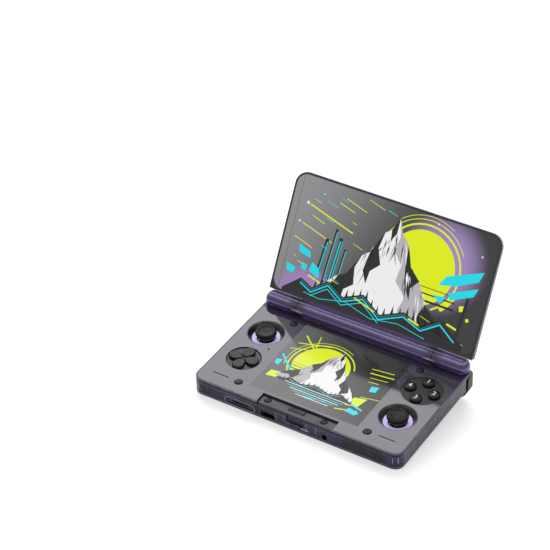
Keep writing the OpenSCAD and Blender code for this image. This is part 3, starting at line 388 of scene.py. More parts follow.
ring_light = Finish("ring_light", "#bcaedd", 0.35, ("#a999d4", 6),
                    Emission_Color="#c9b6f2", Emission_Strength=0.42)
window_lilac = Finish("window_lilac", "#8d84a4", 0.22, ("#a79ec0", 1.5), Transmission_Weight=0.3,
                      Emission_Color="#b8a8dc", Emission_Strength=0.08)
seam_dark = Finish("seam_dark", "#100d16", 0.5, ("#1b1624", 6), None, (0.5, 0.02, 0.3))
glint = Finish("glint", "#8b80ad", 0.18, ("#a79dc6", 3), None, (0.5, 0.02, 0.2), Specular_IOR_Level=0.5)
ink_pale = Finish("ink_pale", "#eeeef0", 0.4, ("#dcdce0", 1))
print("glass, metal and boards ready")

# %% [markdown]
# ## Dressing the CAD shells
# The imported shells are exact but made of flat facets. A dressed copy welds the facets together,
# shades them smoothly except at true corners, and weights the shading by area so that the big
# flat walls stay flat. The copy takes its node's place, and the node is hidden. The copy stands
# for its node, which stays in the simulation.


# %% Helper: dressed copies
def own(piece, body, slot, *replaced):
    """Attaches a piece to the body it moves with and hides the nodes it stands for; the slot is not used."""
    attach(piece, body)
    if replaced:
        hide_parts(*replaced)
    return piece


def added(name, mesh):
    """A mesh as an object in the scene."""
    piece = bpy.data.objects.new(name, mesh)
    scene.collection.objects.link(piece)
    return piece


def meshed(name, points, faces, finish):
    """An object made of points and faces, in a finish."""
    mesh = bpy.data.meshes.new(name)
    mesh.from_pydata(points, [], faces)
    mesh.materials.append(finish.mat)
    return added(name, mesh)


def sharp_smooth(piece, angle):
    """Smooth shading, kept sharp where two faces meet at more than that angle."""
    for face in piece.data.polygons:
        face.use_smooth = True
    piece.data.set_sharp_from_angle(angle=math.radians(angle))
    return piece


slot_of = {part["node"]: part["material_slot"] for part in frame["record"]["subparts"]}
SHELL_ANGLE = 32


def dress(node, finish):
    """A welded, smoothly shaded copy of a CAD node, in a finish."""
    welder = bmesh.new()
    welder.from_mesh(nodes[node].data)
    bmesh.ops.remove_doubles(welder, verts=welder.verts, dist=0.004 * MM)
    bmesh.ops.dissolve_limit(welder, angle_limit=math.radians(0.2), verts=welder.verts,
                             edges=welder.edges)
    welder.verts.ensure_lookup_table()
    points = [v.co.copy() for v in welder.verts]
    faces = [[v.index for v in face.verts] for face in welder.faces]
    welder.free()
    piece = sharp_smooth(meshed(node + "_dressed", points, faces, finish), SHELL_ANGLE)
    piece.modifiers.new("steady normals", "WEIGHTED_NORMAL").keep_sharp = True
    return own(piece, body_of[node], slot_of[node], node)


def pair(name):
    return [name + "_left", name + "_right"]


dressed = (
    (case_purple, ["base_frame"]), (tray_purple, ["bottom_cover"]), (deck_gloss, ["deck_faceplate"]),
    (barrel_purple, pair("hinge_knuckle")), (plate_dark, ["face_button_plate"]),
    (border_glass, ["lid_glass"]), (well_black, pair("stick_bezel")), (ring_light, pair("light_ring")),
    (trigger_black, pair("shoulder_button") + pair("trigger")), (dark_steel, ["usb_port"]),
    (well_black, ["headphone_jack", "card_slot"]), (window_lilac, ["indicator_window"]),
    (steel, ["hinge_cartridges", "hinge_shafts"]), (feet_rubber, ["rubber_feet"]),
    (dark_steel, ["case_screws"]),
)
shells = {node: dress(node, finish) for finish, members in dressed for node in members}
print(len(shells), "dressed copies")

# %% [markdown]
# ## One moulding, several finishes
# A moulding isn't finished alike all over. The frame's top face is a matt dark ledge, its rounded
# edge is painted lighter as a highlight, and the strip in the front notch is smoky; its dark finish
# is also painted shade in the recess below the strip. A face can carry its own material, so the
# faces are picked by where they are and which way they look, in millimetres on the deck.


# %% Frame faces
def paint(piece, finish, wanted, place=deck):
    """Gives a finish to the faces whose middle and direction are wanted."""
    back = place.inverted()
    piece.data.materials.append(finish.mat)
    index = len(piece.data.materials) - 1
    painted = 0
    for face in piece.data.polygons:
        if wanted(back @ face.center, (back.to_3x3() @ face.normal).normalized()):
            face.material_index = index
            painted += 1
    return painted


ON_TOP = 0.995
RECESS_X = 0.8
regions = (
    # The rounded edge is painted lighter: a painted highlight.
    ("of the rounded edge", edge_highlight_purple,
     lambda spot, way: 0.3 < way.z < ON_TOP and -0.6 < spot.z < 0),
    ("of the rim", rim_purple, lambda spot, way: way.z > ON_TOP and spot.z > -0.3),
    ("of the strip", strip_smoke_and_recess_shade, lambda spot, way: -3 < spot.z < -0.3 and way.z > 0.5),
    # The recess under the strip takes the dark strip finish as painted shade.
    ("of the recess", strip_smoke_and_recess_shade,
     lambda spot, way: abs(spot.x - RECESS_X) < 6.1 and way.y < -0.9 and 0.5 < spot.y < 1.5
     and spot.z > -7),
)
for what, finish, wanted in regions:
    print(paint(shells["base_frame"], finish, wanted), "faces", what)

# %% [markdown]
# ## Fine lines
# Where two mouldings meet there is a hair of shadow: round the faceplate, and at the seam
# between frame and tray. Such a gap is too thin to model as a gap, so it is a ribbon a few
# tenths of a millimetre wide, laid along the joint. Ribbons also draw painted shade round the
# microphone hole, a painted highlight on the lip of the card slot, and the screw bosses that
# glint through the front corners.


# %% Helpers: arcs and ribbons
WALL_PROUD = 0.03
RIBBON_THICK = 0.04


def arc(x, y, radius, start, end, steps):
    """Points on a circle, from one angle to another."""
    turns = [math.radians(start + (end - start) * i / steps) for i in range(steps + 1)]
    return [(x + radius * math.cos(t), y + radius * math.sin(t)) for t in turns]


def disc(x, y, radius, steps):
    """Points all round a circle."""
    return arc(x, y, radius, 0, 360, steps)[:-1]


def at_height(points, z):
    """Points of a flat path, lifted to a height over the deck."""
    return [Vector((x, y, z)) for x, y in points]


def on_front(points):
    """Points right and up, laid on the front wall."""
    return [Vector((x, -WALL_PROUD, z)) for x, z in points]


def thickened(piece, thick):
    """Makes a closed sheet of a flat one, below its face."""
    body = piece.modifiers.new("thickness", "SOLIDIFY")
    body.thickness = thick * MM
    body.offset = -1
    return piece


def outward(way):
    """Square to a path, in the deck's plane."""
    return Vector((way.y, -way.x, 0))


def on_wall(way):
    """Square to a path, in the front wall."""
    return Vector((way.z, 0, -way.x))


def ribbon(name, points, width, across, finish, closed=False):
    """A flat ribbon along points on the deck, widened across its path or in a fixed direction."""
    verts, faces = [], []
    count = len(points)
    for i, point in enumerate(points):
        way = points[(i + 1) % count] - points[i - 1]
        side = (across(way) if callable(across) else across).normalized() * width / 2
        verts += [deck @ (point - side), deck @ (point + side)]
    for i in range(count if closed else count - 1):
        j = (i + 1) % count
        faces.append([2 * i, 2 * j, 2 * j + 1, 2 * i + 1])
    return own(thickened(meshed(name, verts, faces, finish), RIBBON_THICK), "base", "purple_shell")


print("ribbons ready")

# %% Seams
PLATE_R = 5.7
PLATE_REAR_R = 1.4
PLATE_PROUD = 0.015
NOTCH_X, NOTCH_Y = 27.3, 9.4
plate_low, plate_high = span("deck_faceplate")
x, y0, y1 = plate_high.x, plate_low.y, plate_high.y
front, rear = y0 + PLATE_R, y1 - PLATE_REAR_R
plate_path = (arc(x - PLATE_R, front, PLATE_R, -90, 0, 10)
              + arc(x - PLATE_REAR_R, rear, PLATE_REAR_R, 0, 90, 4)
              + arc(PLATE_REAR_R - x, rear, PLATE_REAR_R, 90, 180, 4)
              + arc(PLATE_R - x, front, PLATE_R, 180, 270, 10)
              + [(-NOTCH_X, y0), (-NOTCH_X, NOTCH_Y), (NOTCH_X, NOTCH_Y), (NOTCH_X, y0)])
ribbon("faceplate_gap", at_height(plate_path, PLATE_PROUD), 0.46, outward, seam_dark, closed=True)

CASE_R = 6.5
SEAM_Z = -10
SEAM_END = 10.2
REAR_SEAM_X = 47.8
PROUD = 0.02
UP = Vector((0, 0, 1))
case_low, case_high = span("base_frame")
x, y0, y1 = case_high.x + PROUD, case_low.y - PROUD, case_high.y + PROUD
side_path = ([(x, y1 - SEAM_END)] + arc(x - CASE_R, y0 + CASE_R, CASE_R, 0, -90, 10)
             + arc(CASE_R - x, y0 + CASE_R, CASE_R, 270, 180, 10) + [(-x, y1 - SEAM_END)])
ribbon("case_seam", at_height(side_path, SEAM_Z), 0.5, UP, seam_dark)
rear_path = [(-REAR_SEAM_X, y1), (0, y1), (REAR_SEAM_X, y1)]
ribbon("case_seam_rear", at_height(rear_path, SEAM_Z), 0.5, UP, seam_dark)

MIC_X, MIC_Y, MIC_R = -47.2, 47, 0.62
mic_ring = at_height(disc(MIC_X, MIC_Y, MIC_R, 16), PROUD)
# A dark ring round the microphone hole: painted shade.
ribbon("microphone_shade_rim", mic_ring, 0.5, outward, seam_dark, closed=True)

CARD_X, CARD_Z = -39.4, -7.6
CARD_HALF, CARD_R = 8.4, 2.7
card_ring = (arc(CARD_X + CARD_HALF, CARD_Z, CARD_R, -90, 90, 10)
             + arc(CARD_X - CARD_HALF, CARD_Z, CARD_R, 90, 270, 10))
# A light lip round the card slot: a painted highlight.
ribbon("card_slot_lip_highlight", on_front(card_ring), 0.4, on_wall, glint, closed=True)
print("seams, the microphone's rim and a lip round the card slot")

# %% Screw bosses
SCREW_X, SCREW_Z = 68.6, -5.4
EYE_W, EYE_H = 0.35, 0.8
GLINT_X, GLINT_Z = 1.7, -5.2
GLINT_HEIGHTS = (-2.2, -1, 1, 2.4)
into_corner = CASE_R * (1 - math.sqrt(0.5))
for side, name in ((-1, "left"), (1, "right")):
    eye = [(side * SCREW_X + EYE_W * a, SCREW_Z + EYE_H * b) for a, b in disc(0, 0, 1, 16)]
    ribbon(f"boss_eye_{name}", on_front(eye), 0.9, on_wall, seam_dark, closed=True)
    beside_eye = on_front([(side * (SCREW_X + GLINT_X), SCREW_Z)])[0]
    on_corner = Vector((side * (x - into_corner), y0 + into_corner, GLINT_Z))
    for k, (spot, across) in enumerate(((beside_eye, (1, 0, 0)), (on_corner, (1, side, 0)))):
        ends = [spot + UP * z for z in GLINT_HEIGHTS]
        ribbon(f"boss_glint_{name}_{k}", ends, 0.5, Vector(across), glint)
print("two screw bosses")

# %% [markdown]
# ## What shows through the plastic
# The boards, battery, speakers and springs are seen only dimly, through the case. Their plain
# CAD shapes are enough, with the right finish on each.

# %% Finishes on the inner parts
inner = {
    board_green: ["main_board", "strip_board", "port_board"], battery_wrap: ["battery"],
    copper: ["heat_spreader"], dark_plastic: ["speakers"] + pair("stick_housing"),
    panel_dark: ["lower_display", "upper_display"], shield_metal: ["lid_shield"],
    flex_orange: ["display_cable"], silicone: ["button_membranes"],
    steel: pair("stick_pivot") + ["dpad_pivot", "trigger_pins", "trigger_springs"],
    dark_steel: pair("stick_yoke"),
}
for finish, members in inner.items():
    for node in members:
        nodes[node].data.materials.clear()
        nodes[node].data.materials.append(finish.mat)
print(sum(len(members) for members in inner.values()), "inner parts finished")

# %% [markdown]
# ## Turned shapes
# Stick caps, domed buttons and their recesses are all round about one line. A lathe is the
# natural tool: a profile of radius and height is swept round its axis in a ring of faces.


# %% Helper: the lathe
def reworked(piece, work):
    """Lets a function change a piece's mesh."""
    maker = bmesh.new()
    maker.from_mesh(piece.data)
    work(maker)
    maker.to_mesh(piece.data)
    maker.free()
    return piece


def outside_out(maker):
    """Turns the front of every face to the outside."""
    bmesh.ops.recalc_face_normals(maker, faces=maker.faces)


def lathe(name, centre, profile, finish, steps, angle=35):
    """Sweeps (radius, height) points round the upright line through a point of the deck."""
    points, faces, rings = [], [], []
    for radius, height in profile:
        ring = disc(0, 0, radius, steps) if radius else [(0, 0)]
        rings.append(range(len(points), len(points) + len(ring)))
        points += [deck @ (centre + Vector((x, y, height))) for x, y in ring]
    for low, high in zip(rings, rings[1:]):
        for i in range(steps):
            j = (i + 1) % steps
            corners = [low[i % len(low)], low[j % len(low)], high[j % len(high)], high[i % len(high)]]
            faces.append(list(dict.fromkeys(corners)))
    return sharp_smooth(reworked(meshed(name, points, faces, finish), outside_out), angle)


def on_deck(node):
    """The middle of a round node on the deck, its radius, its foot and its top."""
    low, high = span(node)
    return Vector(((low.x + high.x) / 2, (low.y + high.y) / 2, 0)), (high.x - low.x) / 2, low.z, high.z


print("lathe ready")

# %% [markdown]
# ## The thumbsticks
# Each stick is a rubber cap on a sleeve. The cap's top is a shallow dish with a rolled rim, so
# that a thumb doesn't slip. A round skirt turns with the stick about its pivot and keeps dust
# out of the mechanism. It ends high enough to stay clear of the ring that the stick tilts in.
# The ring of light below shows as a lilac crescent.


# %% Thumbsticks
RIM_R = 1.5
NECK_R = 2.4
PIVOT_Z = -6.0
SKIRT_R = 6.0


def thumbstick(side):
    node = "thumbstick_" + side
    centre, cap_r, low, top = on_deck(node)
    profile = [(0, low + 0.6), (1.7, low + 0.6), (1.7, low), (2.35, low), (2.7, -1.0), (3.4, -0.55),
               (cap_r - 0.9, -0.3)]
    profile += arc(cap_r - 0.5, 0.15, 0.5, -80, 0, 4) + arc(cap_r - RIM_R, top - RIM_R, RIM_R, 8, 90, 8)
    profile += [(r, top - drop) for r, drop in
                ((4.9, 0.12), (4.5, 0.34), (4.1, 0.44), (2, 0.52), (0, 0.55))]
    cap = own(lathe(node + "_cap", centre, profile, black_rubber, 96, 50), node, "black_rubber", node)
    dome = [(NECK_R, PIVOT_Z + math.sqrt(SKIRT_R ** 2 - NECK_R ** 2))]
    dome += arc(0, PIVOT_Z, SKIRT_R, 62, 30, 8)
    own(lathe(f"stick_skirt_{side}", centre, dome, dark_plastic, 64, 60), node, "dark_plastic")
    return cap


for side in ("left", "right"):
    print(thumbstick(side).name)

# %% [markdown]
# ## The domed buttons
# The face buttons are low domes with a fine chamfer where they meet the plate, and the small
# ones have a dimple that a fingernail can feel. One profile serves them all.


# %% Round buttons
SHAFT_SHARE = 0.4
SHAFT_TOP = -2.5
# The radius of each kind of button, the height of its dome and the radius of its dimple.
BUTTON_SHAPES = {"face_button": (3.9, 0.45, 0), "small_button_rear": (2.4, 0.22, 0.75),
                 "small_button_front": (2.7, 0.22, 0.75), "power_button": (2.2, 0.12, 0.9),
                 "function_button": (2.2, 0.12, 0.9)}


def round_button(node):
    """A button with a dome, and with a dimple if its kind has one."""
    kind = next(kind for kind in BUTTON_SHAPES if node.startswith(kind))
    radius, dome, dimple = BUTTON_SHAPES[kind]
    centre, _, low, top = on_deck(node)
    edge = min(0.55, radius / 4)
    inner, brim = radius - edge, top - dome - edge
    shaft = radius * SHAFT_SHARE
    profile = [(0, low), (shaft, low), (shaft, SHAFT_TOP), (radius, SHAFT_TOP), (radius, brim)]
    profile += arc(inner, brim, edge, 0, 62, 4)
    rise = [inner * k / 6 for k in range(5, 0, -1)]
    profile += [(r, top - dome * (r / (radius - edge / 2)) ** 2) for r in rise if r > dimple + 0.15]
    if dimple:
        profile += [(dimple + 0.12, top - 0.02), (dimple - 0.1, top - 0.16), (0, top - 0.2)]
    else:
        profile += [(0, top)]
    own(lathe(node + "_domed", centre, profile, black_button, 56, 40), node, slot_of[node], node)


face_nodes = ["face_button_" + where for where in ("top", "right", "bottom", "left")]
small_nodes = [node for node in nodes if node.startswith("small_button")]
for node in face_nodes + small_nodes + ["power_button", "function_button"]:
    round_button(node)
print("domed", len(face_nodes), "face buttons,", len(small_nodes), "small ones and two on the strip")

# %% [markdown]
# ## The direction pad
# One moulded pad rocks on a ball. Seen from above it has four petals with V-shaped gaps and a
# small dish in the middle. The outline has a formula: for each direction it is the further of a
# circle and a bar. The top is a height field over it, so one grid of points gives the
# petals, their rolled edges and the grooves between them.

# %% Direction pad
PAD_ARM = 6.9
PAD_PETAL_R = 3.85
PAD_BAR = 3.3
PAD_ROLL = 1.0
PAD_FOOT = -0.9


def off_arm(turn):
    """The angle between a direction and the nearest arm of the pad."""
    return abs((turn + math.pi / 4) % (math.pi / 2) - math.pi / 4)


def petal_reach(turn):
    """How far the pad's outline is from its middle in that direction."""
    off = off_arm(turn)
    bar = min(PAD_BAR / max(math.sin(off), 1e-6), PAD_ARM)
    side = PAD_ARM * math.sin(off)
    if side < PAD_PETAL_R:
        return max(bar, PAD_ARM * math.cos(off) + math.sqrt(PAD_PETAL_R ** 2 - side ** 2))
    return bar


def pad_height(radius, turn, reach, top):
    """The pad's top: rolled at its outline, dished in the middle, grooved between the petals."""
    edge = min(reach - radius, PAD_ROLL)
    roll = PAD_ROLL - math.sqrt(max(PAD_ROLL ** 2 - (PAD_ROLL - edge) ** 2, 0))
    groove = 0.7 * math.exp(-(radius * math.sin(math.pi / 4 - off_arm(turn)) / 0.5) ** 2)
    dish = 0.4 * math.exp(-(radius / 1.5) ** 4)
    rise = 0.3 * (1 - min(radius / 8, 1))
    return top - roll - dish - rise - groove * min(radius / 2, 1)


def direction_pad():
    centre, dish_r, low, top = on_deck("dpad")
    around, across = 144, 22
    turns = [2 * math.pi * i / around for i in range(around)]
    spots = [(0, 0, top - 0.7)]
    for k in range(1, across + 1):
        share = math.sin(math.pi / 2 * k / across)
        for turn in turns:
            reach = petal_reach(turn)
            spots.append((share * reach, turn, pad_height(share * reach, turn, reach, top)))
    spots += [(petal_reach(turn) + 0.05, turn, PAD_FOOT) for turn in turns]
    points = [deck @ (centre + Vector((r * math.cos(turn), r * math.sin(turn), z))) for r, turn, z in spots]

    def ring(k, i):
        return 1 + k * around + i % around

    faces = [[0, ring(0, i), ring(0, i + 1)] for i in range(around)]
    faces += [[ring(k, i), ring(k + 1, i), ring(k + 1, i + 1), ring(k, i + 1)]
              for k in range(across) for i in range(around)]
    petals = sharp_smooth(meshed("dpad_petals", points, faces, black_button), 60)
    own(petals, "dpad", "black_button", "dpad")
    profile = [(0, low), (2.6, low), (2.8, -2), (dish_r - 0.2, -2), (dish_r, -1.8), (dish_r, -0.75)]
    profile += arc(dish_r - 0.3, PAD_FOOT, 0.3, 30, 90, 3) + [(dish_r - 1.4, -0.72), (0, -0.8)]
    own(lathe("dpad_dish", centre, profile, plate_dark, 96), "dpad", "black_button")
    return petals


print(direction_pad().name)

# %% [markdown]
# ## Marks on the buttons
# The real marks are printed in pale ink, slightly sunk into each dome. Here they are plain
# numbers, made as text and turned into thin mesh that lies just in the dome's top.


# %% Numbers on the face buttons
NUMBER_SIZE = 4.7


def text_mesh(name, letters, place, finish):
    curve = bpy.data.curves.new(name, "FONT")
    curve.body, curve.size, curve.extrude, curve.offset = letters, NUMBER_SIZE, 0.05, 0.07
    curve.align_x, curve.align_y = "CENTER", "CENTER"
    written = added(name + "_draft", curve)
    mesh = bpy.data.meshes.new_from_object(written)
    bpy.data.objects.remove(written)
    mesh.transform(place)
    mesh.name = name
    mesh.materials.clear()
    mesh.materials.append(finish.mat)
    return added(name, mesh)


for number, node in enumerate(face_nodes, 1):
    centre, _, _, top = on_deck(node)
    place = deck @ Matrix.Translation(centre + Vector((0, 0, top - 0.03)))
    own(text_mesh(node + "_number", str(number), place, ink_pale), node, "black_button")
print("numbers 1 to 4 on the face buttons")

# %% [markdown]
# ## The volume rocker
# A short bar that rocks on its middle: its ends are rolled and its middle dips, so that the
# finger finds the two halves without looking. It is one box, cut along its length and bent by
# moving its rows of points.

# %% Volume rocker
ROCKER_GAP = Vector((0.4, 0, 0))
ROCKER_ROLL = 0.35
ROCKER_DIP = 0.3


def rolled_bar(name, low, high, radius, finish, cuts, bend):
    """A bar on the deck with rounded edges, cut across and moved point by point by a function."""
    maker = bmesh.new()
    bmesh.ops.create_cube(maker, size=1)
    size, centre = high - low, (high + low) / 2
    for v in maker.verts:
        v.co = Vector([centre[i] + v.co[i] * size[i] for i in range(3)])
    long_edges = [e for e in maker.edges if abs((e.verts[0].co - e.verts[1].co).normalized().x) > 0.9]
    bmesh.ops.subdivide_edges(maker, edges=long_edges, cuts=cuts)
    rim = [e for e in maker.edges if e.calc_face_angle(0) > 0.5]
    bmesh.ops.bevel(maker, geom=rim, offset=radius, segments=4, affect="EDGES", profile=0.5)
    for v in maker.verts:
        v.co = bend(v.co)
    mesh = bpy.data.meshes.new(name)
    maker.to_mesh(mesh)
    maker.free()
    mesh.transform(deck)
    mesh.materials.append(finish.mat)
    return sharp_smooth(added(name, mesh), 50)


rocker_low, rocker_high = span("volume_rocker")
rocker_mid = (rocker_low + rocker_high) / 2
rocker_half = (rocker_high.x - rocker_low.x) / 2


def rocker_dip(p):
    share = abs(p.x - rocker_mid.x) / rocker_half
    return Vector((p.x, p.y, p.z - ROCKER_DIP * (1 - share ** 2) if p.z > rocker_mid.z else p.z))


rocker = rolled_bar("volume_rocker_rolled", rocker_low + ROCKER_GAP, rocker_high - ROCKER_GAP,
                    ROCKER_ROLL, black_button, 12, rocker_dip)
own(rocker, "volume_rocker", "black_button", "volume_rocker")
print("rocker", round(2 * rocker_half, 1), "mm long")

# %% [markdown]
# ## The lid's shell
# The shell is one moulding: a frosted back with a barrel along its foot. The barrel is polished
# and shows streaks along its length. The rolled edge isn't frosted, so it looks deep and dark.
# The same picking of faces gives each region its finish. On both sides of the barrel the
# moulding goes on as a thin curved lip that wraps a little way round the knuckle.

# %% Lid shell
lid_piece = dress("lid_back_shell", lid_frost)
barrel_r = span("lid_back_shell", lid)[1].y
print(paint(lid_piece, lid_edge, lambda spot, way: way.z < 0.94, lid), "faces of the rolled edge")
print(paint(lid_piece, barrel_purple, lambda spot, way: math.hypot(spot.y, spot.z) < barrel_r + 0.1, lid),
      "faces of the barrel")


def foot_lip(name, x0, x1, radius, thick, start, end, steps=8):
    """A lip between two places on the hinge axis and two angles round it."""
    section = ((x0, radius), (x1, radius), (x1, radius + thick), (x0, radius + thick))
    points = [lid @ Vector((x, y * r, z * r))
              for y, z in arc(0, 0, 1, 180 - start, 180 - end, steps) for x, r in section]
    faces = [[0, 1, 2, 3], [4 * steps + k for k in range(4)]]
    for i in range(0, 4 * steps, 4):
        for k in range(4):
            after = (k + 1) % 4
            faces.append([i + k, i + after, i + 4 + after, i + 4 + k])
    piece = reworked(meshed(name, points, faces, lid_edge), outside_out)
    return own(sharp_smooth(piece, 40), "lid", "purple_shell")


LIP_GAP = 0.3
LIP_END = 73.6
for side, name in ((-1, "foot_lip_left"), (1, "foot_lip_right")):
    ends = sorted((side * (KNUCKLE_X + LIP_GAP), side * LIP_END))
    foot_lip(name, *ends, barrel_r + LIP_GAP, 0.5, 6, 32)
print("lips over the knuckles from", round(KNUCKLE_X, 1), "mm out")

# %% [markdown]
# ## The two pictures
# Both screens are on. What they show is made up for this model: a snowy peak in front of a sun
# disc, with bars and rings in acid yellow and cyan on a ground that runs from grey to black.
# A picture could be an image file, but flat shapes stacked a hair apart stay sharp at any
# size. Each shape is one outline of points in millimetres from the screen's middle. The lighter
# panel that glows through the lid's back is such a flat shape too.

# %% Screen colours
GLASS_EDGE = 0.6
glass_low, glass_high = span("lid_glass", lid)
display_low, display_high = span("lower_display")
upper = (lid @ Matrix.Translation((0, (glass_low.y + glass_high.y) / 2, 0))
         @ Matrix.Rotation(math.pi, 4, "X"))
lower = deck @ Matrix.Translation(((display_low + display_high) / 2).xy.to_3d())
UPPER_W = glass_high.x - glass_low.x - 2 * GLASS_EDGE
UPPER_H = glass_high.y - glass_low.y - 2 * GLASS_EDGE
LOWER_W = display_high.x - display_low.x
LOWER_H = display_high.y - display_low.y
SCREEN_BODY = 0.12


def screen_ink(name, code, glow):
    """A colour that the screen shines out, under a little gloss."""
    made = Finish("screen_" + name, code, 0.12, Specular_IOR_Level=0.25, Emission_Strength=glow)
    made.set(Base_Color=(*[v * SCREEN_BODY for v in shade(code)], 1))
    pixels = made.spread(made.noise(0.5, 1), 0.94, 1.0)
    tinted = made.node("Mix", data_type="RGBA", blend_type="MULTIPLY")
    for value, index in ((1, 0), (code, 6), (pixels, 7)):
        made.feed(value, tinted.inputs[index])
    return made.set(Emission_Color=tinted.outputs[2])


GLOW, CYAN_GLOW = 0.86, 0.95
codes = {"yellow": "#e3f20a", "cyan": "#10d6e4", "white": "#f4f4f4", "dark": "#262626",
         "grey": "#b9b7bd", "teal": "#1c8f9c", "hair": "#5f5f62"}
inks = {name: screen_ink(name, code, CYAN_GLOW if name == "cyan" else GLOW) for name, code in codes.items()}
print(len(inks), "screen colours; upper picture", round(UPPER_W, 1), "by", round(UPPER_H, 1))


# %% Grounds of the pictures
def picture_ground(name, place, left, right, glow, reach, slope, gloss, spots=()):
    """A screen's ground. It runs from one grey to another, and soft ovals of light lie on it."""
    made = Finish(name, "#08080a", 0.08, Specular_IOR_Level=gloss, Emission_Strength=glow)
    across, upward = (made.along(way_of(place, axis), place.translation) for axis in (0, 1))
    slant = made.calc("MULTIPLY_ADD", upward, slope, across)
    ground = made.blend(made.spread(slant, 0, 1, *reach, "SMOOTHSTEP"), left, right)
    for x, y, wide, high, code, soft, strength in spots:
        squares = []
        for value, middle, radius in ((across, x, wide), (upward, y, high)):
            share = made.calc("DIVIDE", made.calc("SUBTRACT", value, middle), radius)
            squares.append(made.calc("MULTIPLY", share, share))
        inside = made.spread(made.calc("ADD", *squares), strength, 0, 1 - soft, 1, "SMOOTHSTEP")
        ground = made.blend(inside, ground, code)
    return made.set(Emission_Color=ground)


def rounded(w, h, r):
    """The outline of a rectangle with round corners."""
    points = []
    for k, (sx, sy) in enumerate(((1, 1), (-1, 1), (-1, -1), (1, -1))):
        points += arc(sx * (w / 2 - r), sy * (h / 2 - r), r, 90 * k, 90 * (k + 1), 8)
    return points


LAYER = 0.02


def flat_shapes(name, place, outlines, layer, finish, body, slot="display_panel"):
    """Flat outlines, side by side on one layer over a screen, as one mesh."""
    points, faces = [], []
    for outline in outlines:
        faces.append(list(range(len(points), len(points) + len(outline))))
        points += [place @ Vector((x, y, LAYER * layer)) for x, y in outline]

    def face_up(maker):
        bmesh.ops.triangulate(maker, faces=maker.faces)
        under = [face for face in maker.faces if face.normal.dot(way_of(place, 2)) < 0]
        bmesh.ops.reverse_faces(maker, faces=under)

    piece = reworked(meshed(name, points, faces, finish), face_up)
    return own(thickened(piece, 0.75 * LAYER), body, slot)


LID_BACK_Z = 4.4
PANEL_X, PANEL_Y = 58, -43
PANEL_W, PANEL_H, PANEL_R = 14, 45, 0.8
lid_back = lid @ Matrix.Translation((0, 0, LID_BACK_Z))
panel = [[(x + PANEL_X, y + PANEL_Y) for x, y in rounded(PANEL_W, PANEL_H, PANEL_R)]]
flat_shapes("lid_inner_panel", lid_back, panel, 1, lid_panel, "lid", "purple_shell")

UPPER_CORNER, LOWER_CORNER = 7.4, 0.6
lights = [(-46, -36, 30, 20, "#a37cc4", 0.9, 0.9), (38, 12, 34, 36, "#a187bf", 0.95, 1.0)]
ground = picture_ground("ground_upper", upper, "#8c8c8e", "#252524", 0.92, (-86, 18), -0.45, 0.5, lights)
flat_shapes("upper_picture", upper, [rounded(UPPER_W, UPPER_H, UPPER_CORNER)], 1, ground, "lid")
ground = picture_ground("ground_lower", lower, "#666566", "#262626", 0.9, (-34, 44), 0.7, 0.24)
flat_shapes("lower_picture", lower, [rounded(LOWER_W, LOWER_H, LOWER_CORNER)], 1, ground, "base")
print("grounds laid")

# %% [markdown]
# ## Shapes for the pictures
# A few outlines make everything: discs and parts of rings, straight bars, thin wedges, and
# chains of points. They are drawn once and used on both screens at two sizes.

# %% Picture shapes
def ring_part(x, y, inner, outer, start, end, steps=28):
    """The part of a ring between two angles."""
    return arc(x, y, outer, start, end, steps) + arc(x, y, inner, end, start, steps)


def bars(*rows):
    """Straight bars, each from one point to another and so wide."""
    made = []
    for x0, y0, x1, y1, w in rows:
        way = Vector((x1 - x0, y1 - y0)).normalized() * w / 2
        made.append([(x0 - way.y, y0 + way.x), (x0 + way.y, y0 - way.x),
                     (x1 + way.y, y1 - way.x), (x1 - way.y, y1 + way.x)])
    return made


def sized(outlines, k, x=0, y=0):
    return [[(x + k * a, y + k * b) for a, b in outline] for outline in outlines]


def wedge(x, y, dx, dy, w):
    """A thin streak that swells and runs out, as a gully does in snow."""
    across = Vector((-dy, dx)).normalized() * w / 2
    return [(x, y), (x + 0.35 * dx + across.x, y + 0.35 * dy + across.y), (x + dx, y + dy),
            (x + 0.35 * dx - across.x, y + 0.35 * dy - across.y)]


def strung(points, drop, w):
    """Bars along a chain of points, let down a little: a contour line on a slope."""
    return bars(*[(x0, y0 - drop, x1, y1 - drop, w) for (x0, y0), (x1, y1) in zip(points, points[1:])])


def sawtooth(points, steps, tall):
    """Pointed trees along a chain of points."""
    trees = []
    for (x0, y0), (x1, y1) in zip(points, points[1:]):
        for k in range(steps):
            x, y = x0 + (x1 - x0) * (k + 0.5) / steps, y0 + (y1 - y0) * (k + 0.5) / steps
            height = tall * random.uniform(0.6, 1.1)
            trees.append([(x - 0.22 * height, y - 1.2), (x + 0.22 * height, y - 1.2), (x, y + height)])
    return trees


def grounded(points, low):
    """A hill: a chain of points closed along the picture's lower edge."""
    return [(points[0][0], low)] + points + [(points[-1][0], low)]


print("outlines ready")

